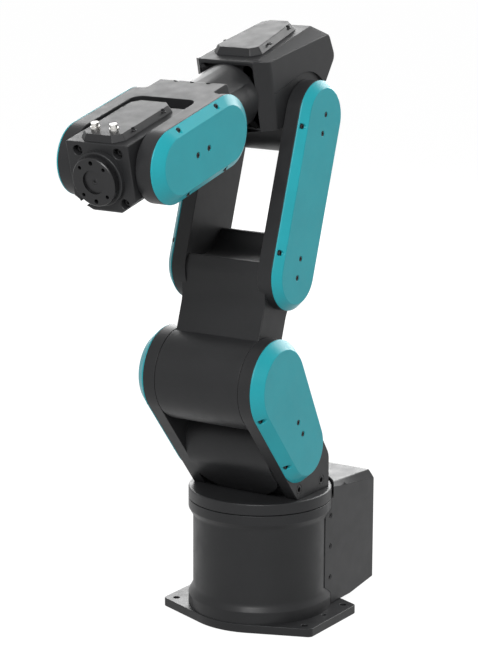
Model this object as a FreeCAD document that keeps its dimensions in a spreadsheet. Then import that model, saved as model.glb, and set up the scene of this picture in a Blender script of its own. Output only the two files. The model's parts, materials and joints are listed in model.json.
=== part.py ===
import FreeCAD, Part
import math
import os
import re
import Sketcher

# Six-axis articulated robot arm, modelled in the pose in which it stands:
# upper arm leaning back, forearm drooping forward, wrist straight.
# +X is forward, +Y is the arm's left, +Z is up. The origin lies on the turning
# axis of the base, on the face that is bolted down. Lengths in millimetres,
# angles in degrees.

V = FreeCAD.Vector
doc = FreeCAD.newDocument("robot_arm")
sheet = doc.addObject("Spreadsheet::Sheet", "Sizes")

SIZES = {
    # Foot plate and base column
    "plate_overhang": 22,
    "plate_half_length": 61,
    "plate_edge_slope": 0.4,
    "plate_nose_radius": 103,
    "plate_corner_radius": 8,
    "plate_thickness": 12,
    "mount_inset_x": 9,
    "mount_inset_y": 16,
    "mount_hole_radius": 4.5,
    "dowel_hole_radius": 3,
    "ring_radius": 100,
    "ring_top": 28.5,
    "column_radius": 93.5,
    "column_foot": 40.5,
    "collar_start": 142,
    "collar_level": 153.5,
    "base_top": 166.5,
    "base_wall": 9,
    "deck_level": 112,
    "deck_thickness": 14,
    # Turntable
    "turn_gap": 1,
    "turntable_thickness": 16,
    "turntable_edge": 1.5,
    # Connection box behind the column
    "box_half_width": 90,
    "box_back": 163.5,
    "box_front_gap": 2,
    "box_top_front": 187,
    "box_top_back": 183,
    "box_bottom_back": 20,
    "box_bevel_width": 10,
    "box_bevel_front": 4,
    "box_bevel_back": 15,
    "box_back_bevel": 12,
    "box_wall": 4,
    "box_clearance": 2.5,
    "box_screw_inset": 15,
    "box_screw_low": 52,
    "box_screw_pitch": 45,
    "panel_half_width": 62,
    "panel_low": 40,
    "panel_high": 150,
    "panel_thickness": 3,
    # Shoulder
    "shoulder_reach": 99.5,
    "shoulder_height": 356,
    "hub_radius": 63,
    "hub_half_width": 66,
    "hub_gap": 0.5,
    "arm_thickness": 18.5,
    "foot_back": 44,
    "heel_rise": 47,
    "heel_radius": 25,
    "barrel_x": 62,
    "barrel_z": 99,
    "barrel_radius": 46,
    "cover_angle": 33.1,
    "shoulder_cover_span": 115.7,
    "shoulder_cover_end": 50,
    "shoulder_cover_depth": 15.5,
    "shoulder_bevel": 12,
    # Upper arm
    "upper_length": 364,
    "upper_lean": 18.3,
    "neck_front": 29.5,
    "neck_back": 29,
    "block_front": 46,
    "block_back": 46,
    "prong_inner": 57.6,
    "prong_outer": 79,
    "prong_radius": 50,
    "prong_span": 212,
    "upper_cover_depth": 11.5,
    "upper_bevel": 9.6,
    # Elbow and forearm
    "forearm_droop": 13.8,
    "forearm_length": 329,
    "forearm_offset": 55.4,
    "elbow_hub_radius": 49,
    "elbow_gap": 0.5,
    "elbow_front": 85,
    "elbow_back": 87,
    "elbow_top": 104,
    "elbow_front_half": 57,
    "elbow_back_half": 62,
    "prong_relief": 56.5,
    "tube_radius": 45,
    "tube_gap": 0.5,
    # Wrist fork
    "fork_rear": 159,
    "fork_rear_half": 51,
    "fork_step": 194,
    "fork_half": 70,
    "fork_inner": 48,
    "fork_throat": 104,
    "wrist_radius": 47.3,
    "wrist_cover_span": 124,
    "wrist_cover_depth": 11.2,
    "wrist_bevel": 11,
    # Wrist block and tool flange
    "block_half": 46.5,
    "block_nose": 53,
    "block_tail": 82,
    "block_top": 44.5,
    "block_bottom": 46.6,
    "boss_radius": 35,
    "boss_length": 7,
    "flange_reach": 70,
    "flange_radius": 31.5,
    "flange_gap": 0.4,
    "flange_circle": 25,
    "flange_thread_radius": 2.5,
    "flange_recess_radius": 15.75,
    "flange_recess_depth": 3,
    # Covers, belts and drives
    "cover_lip": 1.5,
    "cover_wall": 4,
    "cavity_inset": 3,
    "belt_thickness": 1.5,
    "fit_gap": 0.3,
    "screw_head_radius": 3.2,
    "screw_head_height": 3,
    "screw_shank_radius": 1.6,
    "bolt_head_radius": 6.5,
    "bolt_head_height": 8,
    "bolt_shank_radius": 4,
    # Drives inside the base
    "drive_bore": 52,
    "base_motor_top": 80,
    "base_motor_radius": 42,
    "drive_top": 148,
    "drive_flange_radius": 60,
    "bearing_bore": 62,
    "output_radius": 48,
    # Connection box details
    "box_screw_radius": 3.6,
    "box_screw_depth": 2.5,
    "screw_sink": 0.8,
    "panel_corner_radius": 8,
    "socket_length": 14,
    "socket_collar": 4,
    "socket_flange": 3,
    "socket_wall": 2,
    "socket_spread": 30,
    "socket_high": 118,
    "power_socket_radius": 15,
    "signal_socket_radius": 11,
    "port_level": 68,
    "port_radius": 5,
    # Shoulder details
    "bolt_inset": 4,
    "bolt_edge": 20,
    "bolt_level": 14,
    "bolt_grip": 14,
    "core_setback": 8,
    "core_inset": 4,
    "barrel_wall": 8,
    "motor_seat": 16,
    "motor_setback": 6,
    "motor_shaft_radius": 5,
    "shaft_bore_2": 16,
    "gearbox_end_2": 12,
    "gearbox_radius_2": 42,
    "stub_radius": 9,
    "trunnion_radius": 26,
    "trunnion_length": 22,
    "small_pulley_2": 18,
    "large_pulley_2": 38,
    "gland_along": 32,
    "gland_length": 9,
    "gland_collar": 4,
    "gland_radius": 8.5,
    # Belt details
    "belt_clearance": 0.7,
    "belt_rim_width": 0.6,
    "belt_rim_height": 2,
    # Screws of the covers
    "shoulder_screw_near": 66,
    "shoulder_screw_far": 88,
    "notch_margin": 8,
    "notch_radius": 3.5,
    "notch_floor": 3,
    "notch_depth": 4,
    "screw_seat_gap": 0.7,
    "upper_screw_outer": 5,
    "upper_screw_inner": 21,
    "upper_notch_margin": 21,
    "wrist_screw_near": 42.6,
    "wrist_screw_far": 68,
    "wrist_notch_near": 17,
    "wrist_notch_far": 103,
    "wrist_face_inset": 5.5,
    # Upper arm details
    "neck_level": 101,
    "neck_blend": 45,
    "block_level": 140,
    "block_blend": 24,
    "scoop_level": 158,
    "scoop_edge": 3,
    "scoop_floor_x": -12,
    "scoop_rise": 5,
    "scoop_radius": 45,
    "crest_x": -24,
    "crest_level": 206,
    "crest_radius": 8,
    "motor_shift_3": 8,
    "motor_drop_3": 6,
    "motor_radius_3": 19,
    "motor_seat_3": -36,
    "gearbox_radius_3": 31,
    "gearbox_end_3": 10,
    "trunnion_radius_3": 16,
    "trunnion_length_3": 22,
    "small_pulley_3": 13,
    "large_pulley_3": 30,
    # Elbow details
    "elbow_front_low": 8,
    "elbow_round": 5,
    "elbow_edge": 2,
    "elbow_face_half": 36,
    "elbow_face_round": 40,
    "elbow_cheek": 14,
    "elbow_cheek_round": 16,
    "roof_front_half": 44,
    "roof_back_half": 40,
    "roof_fall_front": 4,
    "roof_fall_back": 15,
    "roof_back": 68,
    "rear_bevel_x": 80,
    "rear_bevel_z": 86,
    "rear_level": 56,
    "rear_round": 14,
    "elbow_rear_low_x": 59,
    "elbow_rear_low_z": 30,
    "elbow_relief_top": 50,
    "drive_radius_4": 38,
    "drive_rear_4": -30,
    "drive_step_4": 45,
    "motor_radius_4": 20,
    "pocket_y": 34,
    "pocket_z": 36.7,
    "pocket_radius": 6.5,
    "pocket_depth": 9,
    "pocket_screw_radius": 4,
    "elbow_cover_front": 65,
    "elbow_cover_back": 61,
    "elbow_cover_front_half": 38,
    "elbow_cover_back_half": 29,
    "elbow_cover_height": 9.5,
    "elbow_cover_bevel": 6,
    "hatch_clip": 12,
    "hatch_screw_front": 27,
    "hatch_screw_back": 36,
    # Fork details
    "fork_round": 5,
    "fork_slant": 5,
    "fork_ear": 10,
    "throat_round": 14,
    "top_screw_inset": 5,
    "top_screw_pitch": 25,
    "wrist_motor_gap": 9,
    "motor_radius_5": 23,
    "motor_seat_5": -30,
    "gearbox_radius_5": 24,
    "gearbox_end_5": 14,
    "trunnion_radius_5": 14,
    "trunnion_length_5": 17,
    "small_pulley_5": 12,
    "large_pulley_5": 24,
    # Wrist block details
    "block_edge": 5,
    "block_tail_low": 6,
    "block_belly": 36,
    "block_belly_round": 30,
    "drive_rear_6": 26,
    "drive_radius_6": 30,
    "block_pocket_y": 30,
    "block_pocket_z": 33,
    "block_corner_y": 20,
    "block_corner_z": 28,
    "block_corner_round": 12,
    "wrist_hatch_front": 49,
    "wrist_hatch_back": 80,
    "wrist_hatch_half": 33,
    "wrist_hatch_height": 8.5,
    "wrist_hatch_bevel": 4,
    "wrist_hatch_screw_front": 14,
    "wrist_hatch_screw_back": 52,
    "fitting_x": 31,
    "fitting_y": 14,
    "fitting_radius": 6,
    "fitting_height": 10,
    "fitting_neck": 4.8,
    "flange_edge": 1,
    "flange_dowel_radius": 3,
    "flange_screw_radius": 4,
    "flange_screw_height": 2,
}

for row, (name, size) in enumerate(SIZES.items(), start=1):
    sheet.set(f"A{row}", name)
    sheet.set(f"B{row}", str(size))
    sheet.setAlias(f"B{row}", name)
doc.recompute()

WORDS = re.compile(r"\b(" + "|".join(sorted(SIZES, key=len, reverse=True)) + r")\b")


def bound(text):
    """Expression text with each size name pointing at its cell in the sheet."""
    return WORDS.sub(r"Sizes.\1", str(text))


def value(text):
    """Number that an expression gives with the present sizes."""
    return float(sheet.evalExpression(bound(text)))


def neg(text):
    return f"-({text})"


def add(*terms):
    return "(" + "+".join(f"({term})" for term in terms) + ")"


def sub(first, second):
    return f"(({first})-({second}))"


# Frames: each sub-assembly is drawn straight and level in a frame of its own.
ELBOW_X = "shoulder_reach - upper_length * sin(upper_lean)"
ELBOW_Z = "shoulder_height + upper_length * cos(upper_lean)"
WRIST_X = (
    f"{ELBOW_X} + forearm_length * cos(forearm_droop) + forearm_offset * sin(forearm_droop)"
)
WRIST_Z = (
    f"{ELBOW_Z} - forearm_length * sin(forearm_droop) + forearm_offset * cos(forearm_droop)"
)
FRAMES = {
    "base": ("0", "0", "0"),
    "shoulder": ("shoulder_reach", "shoulder_height", "0"),
    "upper": ("shoulder_reach", "shoulder_height", "-upper_lean"),
    "forearm": (ELBOW_X, ELBOW_Z, "forearm_droop"),
    "wrist": (WRIST_X, WRIST_Z, "forearm_droop"),
}
TURNS = {
    "x": "rotation(vector(0;1;0);90)",
    "y": "rotation(vector(1;0;0);-90)",
    "z": "rotation(vector(0;0;1);0)",
}
PLANE_OF_AXIS = {"x": "YZ_Plane", "y": "XZ_Plane", "z": "XY_Plane"}
PARTS = []


def frame_text(frame, x="0", y="0", z="0", turn="z"):
    """Placement expression of a point of a frame, turned to point along an axis."""
    base_x, base_z, tilt = FRAMES[frame]
    outer = f"placement(vector({base_x};0;{base_z});rotation(vector(0;1;0);{tilt}))"
    inner = f"placement(vector({x};{y};{z});{TURNS[turn]})"
    return bound(f"{outer} * {inner}")


def keep(item, label):
    """Name a finished sub-part and list it for the export."""
    item.Label = label
    PARTS.append(item)
    return item


def new_body(label, frame, x="0", y="0", z="0"):
    body = doc.addObject("PartDesign::Body", label)
    body.setExpression("Placement", frame_text(frame, x, y, z))
    return keep(body, label)


def new_sketch(body, axis, level):
    """Sketch square to an axis of the body's own frame, at a level along it."""
    role = PLANE_OF_AXIS[axis]
    plane = [item for item in body.Origin.OriginFeatures if item.Role == role][0]
    sketch = body.newObject("Sketcher::SketchObject", body.Name + "_sketch")
    sketch.AttachmentSupport = (plane, [""])
    sketch.MapMode = "FlatFace"
    shift = neg(level) if axis == "y" else level
    sketch.setExpression(".AttachmentOffset.Base.z", bound(shift))
    return sketch


def pin(sketch, geometry, position, x, y):
    """Hold a sketch point at coordinates given by expressions."""
    for kind, text in (("DistanceX", x), ("DistanceY", y)):
        index = sketch.addConstraint(
            Sketcher.Constraint(kind, -1, 1, geometry, position, value(text))
        )
        sketch.setExpression(f"Constraints[{index}]", bound(text))


def hold_radius(sketch, geometry, text):
    index = sketch.addConstraint(Sketcher.Constraint("Radius", geometry, value(text)))
    sketch.setExpression(f"Constraints[{index}]", bound(text))


def rounded(corners):
    """Closed outline through (x, y, radius) corners, each rounded by its radius."""

    def draw(sketch):
        count = len(corners)
        spots = [V(value(x), value(y), 0) for x, y, radius in corners]
        radii = [value(radius) for x, y, radius in corners]
        cuts = []
        for i in range(count):
            back = (spots[i - 1] - spots[i]).normalize()
            ahead = (spots[(i + 1) % count] - spots[i]).normalize()
            half = math.acos(max(-1.0, min(1.0, back.dot(ahead)))) / 2
            reach = radii[i] / math.tan(half) if radii[i] > 0 else 0.0
            middle = (back + ahead).normalize() * (radii[i] / math.sin(half))
            left = back.cross(ahead).z < 0
            cuts.append((spots[i] + back * reach, spots[i] + ahead * reach, middle, left))
        lines = []
        for i in range(count):
            segment = Part.LineSegment(cuts[i][1], cuts[(i + 1) % count][0])
            lines.append(sketch.addGeometry(segment, False))
        for i in range(count):
            before = lines[i - 1]
            after = lines[i]
            if radii[i] <= 0:
                sketch.addConstraint(Sketcher.Constraint("Coincident", before, 2, after, 1))
                pin(sketch, after, 1, corners[i][0], corners[i][1])
                continue
            enter, leave, middle, left = cuts[i]
            centre = spots[i] + middle
            first, last = (enter, leave) if left else (leave, enter)
            start = math.atan2(first.y - centre.y, first.x - centre.x)
            stop = math.atan2(last.y - centre.y, last.x - centre.x)
            circle = Part.Circle(centre, V(0, 0, 1), radii[i])
            arc = sketch.addGeometry(Part.ArcOfCircle(circle, start, stop), False)
            joins = (1, 2) if left else (2, 1)
            sketch.addConstraint(Sketcher.Constraint("Tangent", before, 2, arc, joins[0]))
            sketch.addConstraint(Sketcher.Constraint("Tangent", arc, joins[1], after, 1))
            hold_radius(sketch, arc, corners[i][2])
            mark = sketch.addGeometry(Part.Point(spots[i]), True)
            pin(sketch, mark, 1, corners[i][0], corners[i][1])
            sketch.addConstraint(Sketcher.Constraint("PointOnObject", mark, 1, before))
            sketch.addConstraint(Sketcher.Constraint("PointOnObject", mark, 1, after))

    return draw


def hull(first, second):
    """Outline of two discs (x, y, radius) and the tangent lines between them."""

    def draw(sketch):
        ends = [(V(value(x), value(y), 0), value(radius)) for x, y, radius in (first, second)]
        along = ends[1][0] - ends[0][0]
        heading = math.atan2(along.y, along.x)
        spread = math.acos((ends[0][1] - ends[1][1]) / along.Length)
        angles = (
            (heading + spread, heading - spread + 2 * math.pi),
            (heading - spread, heading + spread),
        )
        arcs = []
        for (centre, radius), (start, stop) in zip(ends, angles):
            circle = Part.Circle(centre, V(0, 0, 1), radius)
            arcs.append(sketch.addGeometry(Part.ArcOfCircle(circle, start, stop), False))

        def rim(end, angle):
            centre, radius = ends[end]
            return centre + V(math.cos(angle), math.sin(angle), 0) * radius

        lower = heading - spread
        upper = heading + spread
        one = sketch.addGeometry(Part.LineSegment(rim(0, lower), rim(1, lower)), False)
        two = sketch.addGeometry(Part.LineSegment(rim(1, upper), rim(0, upper)), False)
        ring = (arcs[0], one, arcs[1], two)
        for before, after in zip(ring, ring[1:] + ring[:1]):
            sketch.addConstraint(Sketcher.Constraint("Tangent", before, 2, after, 1))
        for arc, (x, y, radius) in zip(arcs, (first, second)):
            pin(sketch, arc, 3, x, y)
            hold_radius(sketch, arc, radius)

    return draw


def discs(spots):
    """Separate full circles, each (x, y, radius)."""

    def draw(sketch):
        for x, y, radius in spots:
            circle = Part.Circle(V(value(x), value(y), 0), V(0, 0, 1), value(radius))
            index = sketch.addGeometry(circle, False)
            pin(sketch, index, 3, x, y)
            hold_radius(sketch, index, radius)

    return draw


def slab(body, axis, low, high, draw, cut=False):
    """Pad or pocket of an outline between two levels along an axis."""
    sketch = new_sketch(body, axis, low)
    draw(sketch)
    kind = "PartDesign::Pocket" if cut else "PartDesign::Pad"
    feature = body.newObject(kind, body.Name + ("_cut" if cut else "_pad"))
    feature.Profile = sketch
    feature.Reversed = (axis == "y") != cut
    feature.setExpression("Length", bound(sub(high, low)))
    doc.recompute()
    return feature


def bridge(body, axis, low, draw_low, high, draw_high, cut=False):
    """Straight-sided loft, added or cut, between two outlines at two levels."""
    start = new_sketch(body, axis, low)
    draw_low(start)
    end = new_sketch(body, axis, high)
    draw_high(end)
    kind = "PartDesign::SubtractiveLoft" if cut else "PartDesign::AdditiveLoft"
    feature = body.newObject(kind, body.Name + "_loft")
    feature.Profile = start
    feature.Sections = [end]
    feature.Ruled = True
    doc.recompute()
    return feature


def turn(body, axis, corners, cut=False):
    """Revolve an outline of (along, radius, rounding) corners about an axis."""
    plane = "z" if axis == "y" else "y"
    sketch = new_sketch(body, plane, "0")
    if axis == "x":
        rounded(corners)(sketch)
    else:
        rounded([(radius, along, round_) for along, radius, round_ in corners])(sketch)
    kind = "PartDesign::Groove" if cut else "PartDesign::Revolution"
    feature = body.newObject(kind, body.Name + "_turn")
    feature.Profile = sketch
    feature.ReferenceAxis = (sketch, ["H_Axis" if axis == "x" else "V_Axis"])
    feature.Angle = 360
    doc.recompute()
    return feature


def turned(label, frame, axis, corners, x="0", y="0", z="0"):
    """Sub-part that is one turned form about an axis through (x, y, z)."""
    body = new_body(label, frame, x, y, z)
    turn(body, axis, corners)
    return body


def stepped(*steps):
    """Turned profile from (from, to, radius) steps that follow each other."""
    corners = [(steps[0][0], "0", "0")]
    for low, high, radius in steps:
        corners.append((low, radius, "0"))
        corners.append((high, radius, "0"))
    corners.append((steps[-1][1], "0", "0"))
    return corners


def rods(label, frame, axis, spots, steps):
    """Cylinders of like fasteners: at each (x, y, z) a row of (from, to, radius)."""
    members = []
    for x, y, z in spots:
        for low, high, radius in steps:
            rod = doc.addObject("Part::Cylinder", f"{label}_rod")
            rod.setExpression("Radius", bound(radius))
            rod.setExpression("Height", bound(sub(high, low)))
            level = {"x": x, "y": y, "z": z}
            level[axis] = add(level[axis], low)
            rod.setExpression(
                "Placement", frame_text(frame, level["x"], level["y"], level["z"], axis)
            )
            members.append(rod)
    return members


def group(label, members):
    """Like fasteners as one sub-part of separate solids."""
    whole = doc.addObject("Part::MultiFuse", label)
    whole.Shapes = members
    whole.Refine = True
    return keep(whole, label)


def pins(label, frame, axis, spots, steps):
    return group(label, rods(label, frame, axis, spots, steps))


def ring_steps(low, high, bore, radius, rim):
    """Pulley section: bore, belt seat and a rim at each side."""
    lip = "belt_rim_width"
    return [
        (low, bore, "0"),
        (low, rim, "0"),
        (add(low, lip), rim, "0"),
        (add(low, lip), radius, "0"),
        (sub(high, lip), radius, "0"),
        (sub(high, lip), rim, "0"),
        (high, rim, "0"),
        (high, bore, "0"),
    ]


def mirror_y(low, high, side):
    """Levels along Y of a piece on the left (+1) or the right (-1)."""
    return (low, high) if side > 0 else (neg(high), neg(low))


SIDES = (("left", 1), ("right", -1))

# Base: one casting with foot plate, lower ring, column and collar. A deck
# across the inside carries the drive of the first axis.
PLATE_HALF = "(ring_radius + plate_overhang)"
PLATE_NOSE = f"(plate_half_length + plate_edge_slope * {PLATE_HALF})"
MOUNT_X = "(plate_half_length - mount_inset_x)"
MOUNT_Y = f"({PLATE_HALF} - mount_inset_y)"
BASE_BORE = "(column_radius - base_wall)"
DECK_TOP = "(deck_level + deck_thickness)"
BEARING_TOP = "(base_top + turn_gap - fit_gap)"
COLUMN_OUTLINE = [
    ("0", "ring_radius", "0"),
    ("ring_top", "ring_radius", "0"),
    ("column_foot", "column_radius", "0"),
    ("collar_start", "column_radius", "0"),
    ("collar_level", "ring_radius", "0"),
    ("base_top", "ring_radius", "0"),
]


def plate_outline():
    corners = []
    for x_sign, y_sign in ((1, 1), (-1, 1), (-1, -1), (1, -1)):
        corner = (
            f"{x_sign} * plate_half_length",
            f"{y_sign} * {PLATE_HALF}",
            "plate_corner_radius",
        )
        nose = (f"{x_sign} * {PLATE_NOSE}", "0", "plate_nose_radius")
        if x_sign == y_sign:
            corners.extend([nose, corner])
        else:
            corners.append(corner)
    return corners


def make_base_casting():
    body = new_body("base_casting", "base")
    slab(body, "z", "0", "plate_thickness", rounded(plate_outline()))
    outline = [("0", "0", "0")] + COLUMN_OUTLINE + [("base_top", "0", "0")]
    turn(body, "z", outline)
    turn(body, "z", stepped(("plate_thickness", "deck_level", BASE_BORE)), cut=True)
    turn(body, "z", stepped((DECK_TOP, "base_top", BASE_BORE)), cut=True)
    slab(body, "z", "deck_level", DECK_TOP, discs([("0", "0", "drive_bore")]), cut=True)
    holes = [
        (f"{i} * {MOUNT_X}", f"{j} * {MOUNT_Y}", "mount_hole_radius")
        for i in (1, -1)
        for j in (1, -1)
    ]
    holes += [("0", f"{j} * {MOUNT_Y}", "dowel_hole_radius") for j in (1, -1)]
    slab(body, "z", "0", "plate_thickness", discs(holes), cut=True)


def make_base_drive():
    turned(
        "j1_motor",
        "base",
        "z",
        stepped(("plate_thickness", "base_motor_top", "base_motor_radius")),
    )
    turned(
        "j1_gearbox",
        "base",
        "z",
        stepped(
            ("base_motor_top", DECK_TOP, "drive_bore"),
            (DECK_TOP, "drive_top", "drive_flange_radius"),
        ),
    )
    ring = [
        (DECK_TOP, "bearing_bore", "0"),
        (DECK_TOP, BASE_BORE, "0"),
        (BEARING_TOP, BASE_BORE, "0"),
        (BEARING_TOP, "bearing_bore", "0"),
    ]
    turned("j1_bearing", "base", "z", ring)


BOX_BEVEL_BASE = "(box_top_back - box_bevel_back)"
BOX_CLEAR = "(box_top_front + box_bevel_back)"
BOX_FRONT = "(sqrt(max(column_radius^2 - box_half_width^2; 0)) + box_front_gap)"
BOX_SCREW_X = f"(-{BOX_FRONT} - box_screw_inset)"
BOX_SCREW_LEVELS = [f"box_screw_low + {i} * box_screw_pitch" for i in range(3)]


def make_connection_box():
    body = new_body("connection_box", "base")
    side = [
        ("-box_back", "box_bottom_back", "0"),
        ("-box_back", BOX_BEVEL_BASE, "0"),
        ("-box_back + box_back_bevel", "box_top_back", "0"),
        (neg(BOX_FRONT), "box_top_front", "0"),
        (neg(BOX_FRONT), "plate_thickness", "0"),
        (neg("ring_radius"), "plate_thickness", "0"),
    ]
    slab(body, "y", "-box_half_width", "box_half_width", rounded(side))
    for sign in (1, -1):
        edge = f"{sign} * box_half_width"
        sections = []
        for top, drop in (("box_top_back", "box_bevel_back"), ("box_top_front", "box_bevel_front")):
            base = f"{top} - {drop}"
            run = f"box_bevel_width * ({BOX_CLEAR} - {base}) / {drop}"
            ridge = f"{sign} * (box_half_width - {run})"
            sections.append([(edge, base, "0"), (edge, BOX_CLEAR, "0"), (ridge, BOX_CLEAR, "0")])
        back, front = sections
        bridge(body, "x", "-box_back", rounded(back), neg(BOX_FRONT), rounded(front), cut=True)
    inner = "(box_half_width - box_wall)"
    hollow = [
        (neg(inner), "box_bottom_back + box_wall", "0"),
        (inner, "box_bottom_back + box_wall", "0"),
        (inner, f"{BOX_BEVEL_BASE} - box_wall", "0"),
        (neg(inner), f"{BOX_BEVEL_BASE} - box_wall", "0"),
    ]
    slab(body, "x", "-box_back + box_wall", neg(BOX_FRONT), rounded(hollow), cut=True)
    reach = "ring_radius + box_clearance"
    column = [("0", "0", "0")] + COLUMN_OUTLINE
    column += [
        ("base_top", reach, "0"),
        (BOX_CLEAR, reach, "0"),
        (BOX_CLEAR, "0", "0"),
    ]
    turn(body, "z", column, cut=True)
    spots = [(BOX_SCREW_X, level, "box_screw_radius") for level in BOX_SCREW_LEVELS]
    for side in (1, -1):
        low, high = mirror_y("box_half_width - box_screw_depth", "box_half_width", side)
        slab(body, "y", low, high, discs(spots), cut=True)


def make_connection_box_fittings():
    body = new_body("connector_panel", "base")
    panel = [
        (f"{i} * panel_half_width", level, "panel_corner_radius")
        for i, level in ((-1, "panel_low"), (1, "panel_low"), (1, "panel_high"), (-1, "panel_high"))
    ]
    outer = "-box_back - panel_thickness"
    slab(body, "x", outer, "-box_back", rounded(panel))
    tip = "-box_back - panel_thickness - socket_length"
    base = "-box_back - panel_thickness"
    collar = f"{base} - socket_collar"
    for label, y, z, radius in (
        ("power_socket", "socket_spread", "socket_high", "power_socket_radius"),
        ("signal_socket", "-socket_spread", "socket_high", "signal_socket_radius"),
    ):
        turned(
            label,
            "base",
            "x",
            [
                (base, "0", "0"),
                (base, f"{radius} + socket_flange", "0"),
                (collar, f"{radius} + socket_flange", "0"),
                (collar, radius, "0"),
                (tip, radius, "0"),
                (tip, f"{radius} - socket_wall", "0"),
                (collar, f"{radius} - socket_wall", "0"),
                (collar, "0", "0"),
            ],
            y=y,
            z=z,
        )
    ports = [("0", f"{i} * socket_spread", "port_level") for i in (-1, 1)]
    pins(
        "air_inlets",
        "base",
        "x",
        ports,
        [(collar, base, "port_radius + socket_flange"), (tip, collar, "port_radius")],
    )
    spots = [(BOX_SCREW_X, "0", level) for level in BOX_SCREW_LEVELS]
    seat = "box_half_width - box_screw_depth"
    members = []
    for side in (1, -1):
        low, high = mirror_y(seat, "box_half_width - screw_sink", side)
        members += rods("box_screws", "base", "y", spots, [(low, high, "screw_head_radius")])
    group("box_screws", members)


# Turntable and shoulder: two side plates stand on the turntable and hold the
# barrel with the motor of the second axis between them.
TABLE_LOW = "(base_top + turn_gap)"
TABLE_TOP = "(base_top + turn_gap + turntable_thickness)"
FOOT_Z = f"({TABLE_TOP} - shoulder_height)"
PLATE_IN = "(hub_half_width + hub_gap)"
PLATE_OUT = "(hub_half_width + hub_gap + arm_thickness)"
TAPER = "asin((hub_radius - shoulder_cover_end) / shoulder_cover_span)"
FRONT_TILT = f"(cover_angle * 1 deg + {TAPER})"
BACK_TILT = f"(cover_angle * 1 deg - {TAPER})"
LOWER_X = "(-shoulder_cover_span * sin(cover_angle))"
LOWER_Z = "(-shoulder_cover_span * cos(cover_angle))"
FRONT_X = f"({LOWER_X} + shoulder_cover_end * cos({FRONT_TILT}))"
FRONT_Z = f"({LOWER_Z} - shoulder_cover_end * sin({FRONT_TILT}))"
REAR_X = f"({LOWER_X} - shoulder_cover_end * cos({BACK_TILT}))"
REAR_Z = f"({LOWER_Z} + shoulder_cover_end * sin({BACK_TILT}))"
TOE_X = f"({FRONT_X} - ({FRONT_Z} - {FOOT_Z}) * tan({FRONT_TILT}))"
HEEL_X = "(-shoulder_reach - foot_back)"
HEEL_Z = f"({FOOT_Z} + heel_rise)"
MOTOR_2 = ("-barrel_x", "-barrel_z")
ARM_BOLTS = [
    (f"{TOE_X} - bolt_inset", f"{FOOT_Z} + bolt_level"),
    (f"{HEEL_X} + bolt_edge", f"{FOOT_Z} + bolt_level"),
]


def make_turntable():
    """Round table with a hub on its underside that the drive turns."""
    low = TABLE_LOW
    top = TABLE_TOP
    corners = [
        ("drive_top + fit_gap", "0", "0"),
        ("drive_top + fit_gap", "output_radius", "0"),
        (low, "output_radius", "0"),
        (low, "ring_radius", "0"),
        (f"{top} - turntable_edge", "ring_radius", "0"),
        (top, "ring_radius - turntable_edge", "0"),
        (top, "0", "0"),
    ]
    turned("turntable", "base", "z", corners)


def make_shoulder_casting():
    body = new_body("shoulder_casting", "shoulder")
    low = neg(PLATE_IN)
    slab(body, "y", low, PLATE_IN, discs([(*MOTOR_2, "barrel_radius")]))
    toe = f"{TOE_X} - core_setback"
    chin_z = "-barrel_z - barrel_radius / 2"
    chin_x = f"{toe} + ({chin_z} - {FOOT_Z}) * tan({FRONT_TILT})"
    heel = f"{HEEL_X} + core_inset"
    core = [
        (heel, FOOT_Z, "0"),
        (toe, FOOT_Z, "0"),
        (chin_x, chin_z, "0"),
        (MOTOR_2[0], "-barrel_z + barrel_radius / 2", "0"),
        (f"{REAR_X} + core_inset", f"{REAR_Z} - core_inset", "core_inset"),
        (heel, f"{HEEL_Z} - core_inset", "heel_radius"),
    ]
    slab(body, "y", low, PLATE_IN, rounded(core))
    bore = "barrel_radius - barrel_wall"
    slab(body, "y", f"-{PLATE_IN} + motor_seat", PLATE_IN, discs([(*MOTOR_2, bore)]), cut=True)
    holes = [(x, z, "bolt_shank_radius") for x, z in ARM_BOLTS]
    for side_low, side_high in (
        (f"{PLATE_IN} - bolt_grip", PLATE_IN),
        (neg(PLATE_IN), f"-{PLATE_IN} + bolt_grip"),
    ):
        slab(body, "y", side_low, side_high, discs(holes), cut=True)


def make_shoulder_plates():
    for label, side in SIDES:
        body = new_body(f"shoulder_plate_{label}", "shoulder")
        low, high = mirror_y(PLATE_IN, PLATE_OUT, side)
        head = hull(("0", "0", "hub_radius"), (LOWER_X, LOWER_Z, "shoulder_cover_end"))
        slab(body, "y", low, high, head)
        foot = [
            (FRONT_X, FRONT_Z, "0"),
            (REAR_X, REAR_Z, "0"),
            (HEEL_X, HEEL_Z, "heel_radius"),
            (HEEL_X, FOOT_Z, "0"),
            (TOE_X, FOOT_Z, "0"),
        ]
        slab(body, "y", low, high, rounded(foot))
        holes = [("0", "0", "shaft_bore_2"), (*MOTOR_2, "shaft_bore_2")]
        holes += [(x, z, "bolt_shank_radius") for x, z in ARM_BOLTS]
        slab(body, "y", low, high, discs(holes), cut=True)
        seats = [(x, z, "bolt_head_radius + fit_gap") for x, z in ARM_BOLTS]
        low, high = mirror_y(f"{PLATE_OUT} - bolt_head_height", PLATE_OUT, side)
        slab(body, "y", low, high, discs(seats), cut=True)


def make_shoulder_bolts():
    members = []
    spots = [(x, "0", z) for x, z in ARM_BOLTS]
    for side in (1, -1):
        grip = mirror_y(f"{PLATE_IN} - bolt_grip", f"{PLATE_OUT} - bolt_head_height", side)
        head = mirror_y(f"{PLATE_OUT} - bolt_head_height", PLATE_OUT, side)
        steps = [(*grip, "bolt_shank_radius"), (*head, "bolt_head_radius")]
        members += rods("shoulder_bolts", "shoulder", "y", spots, steps)
    group("shoulder_bolts", members)


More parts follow.
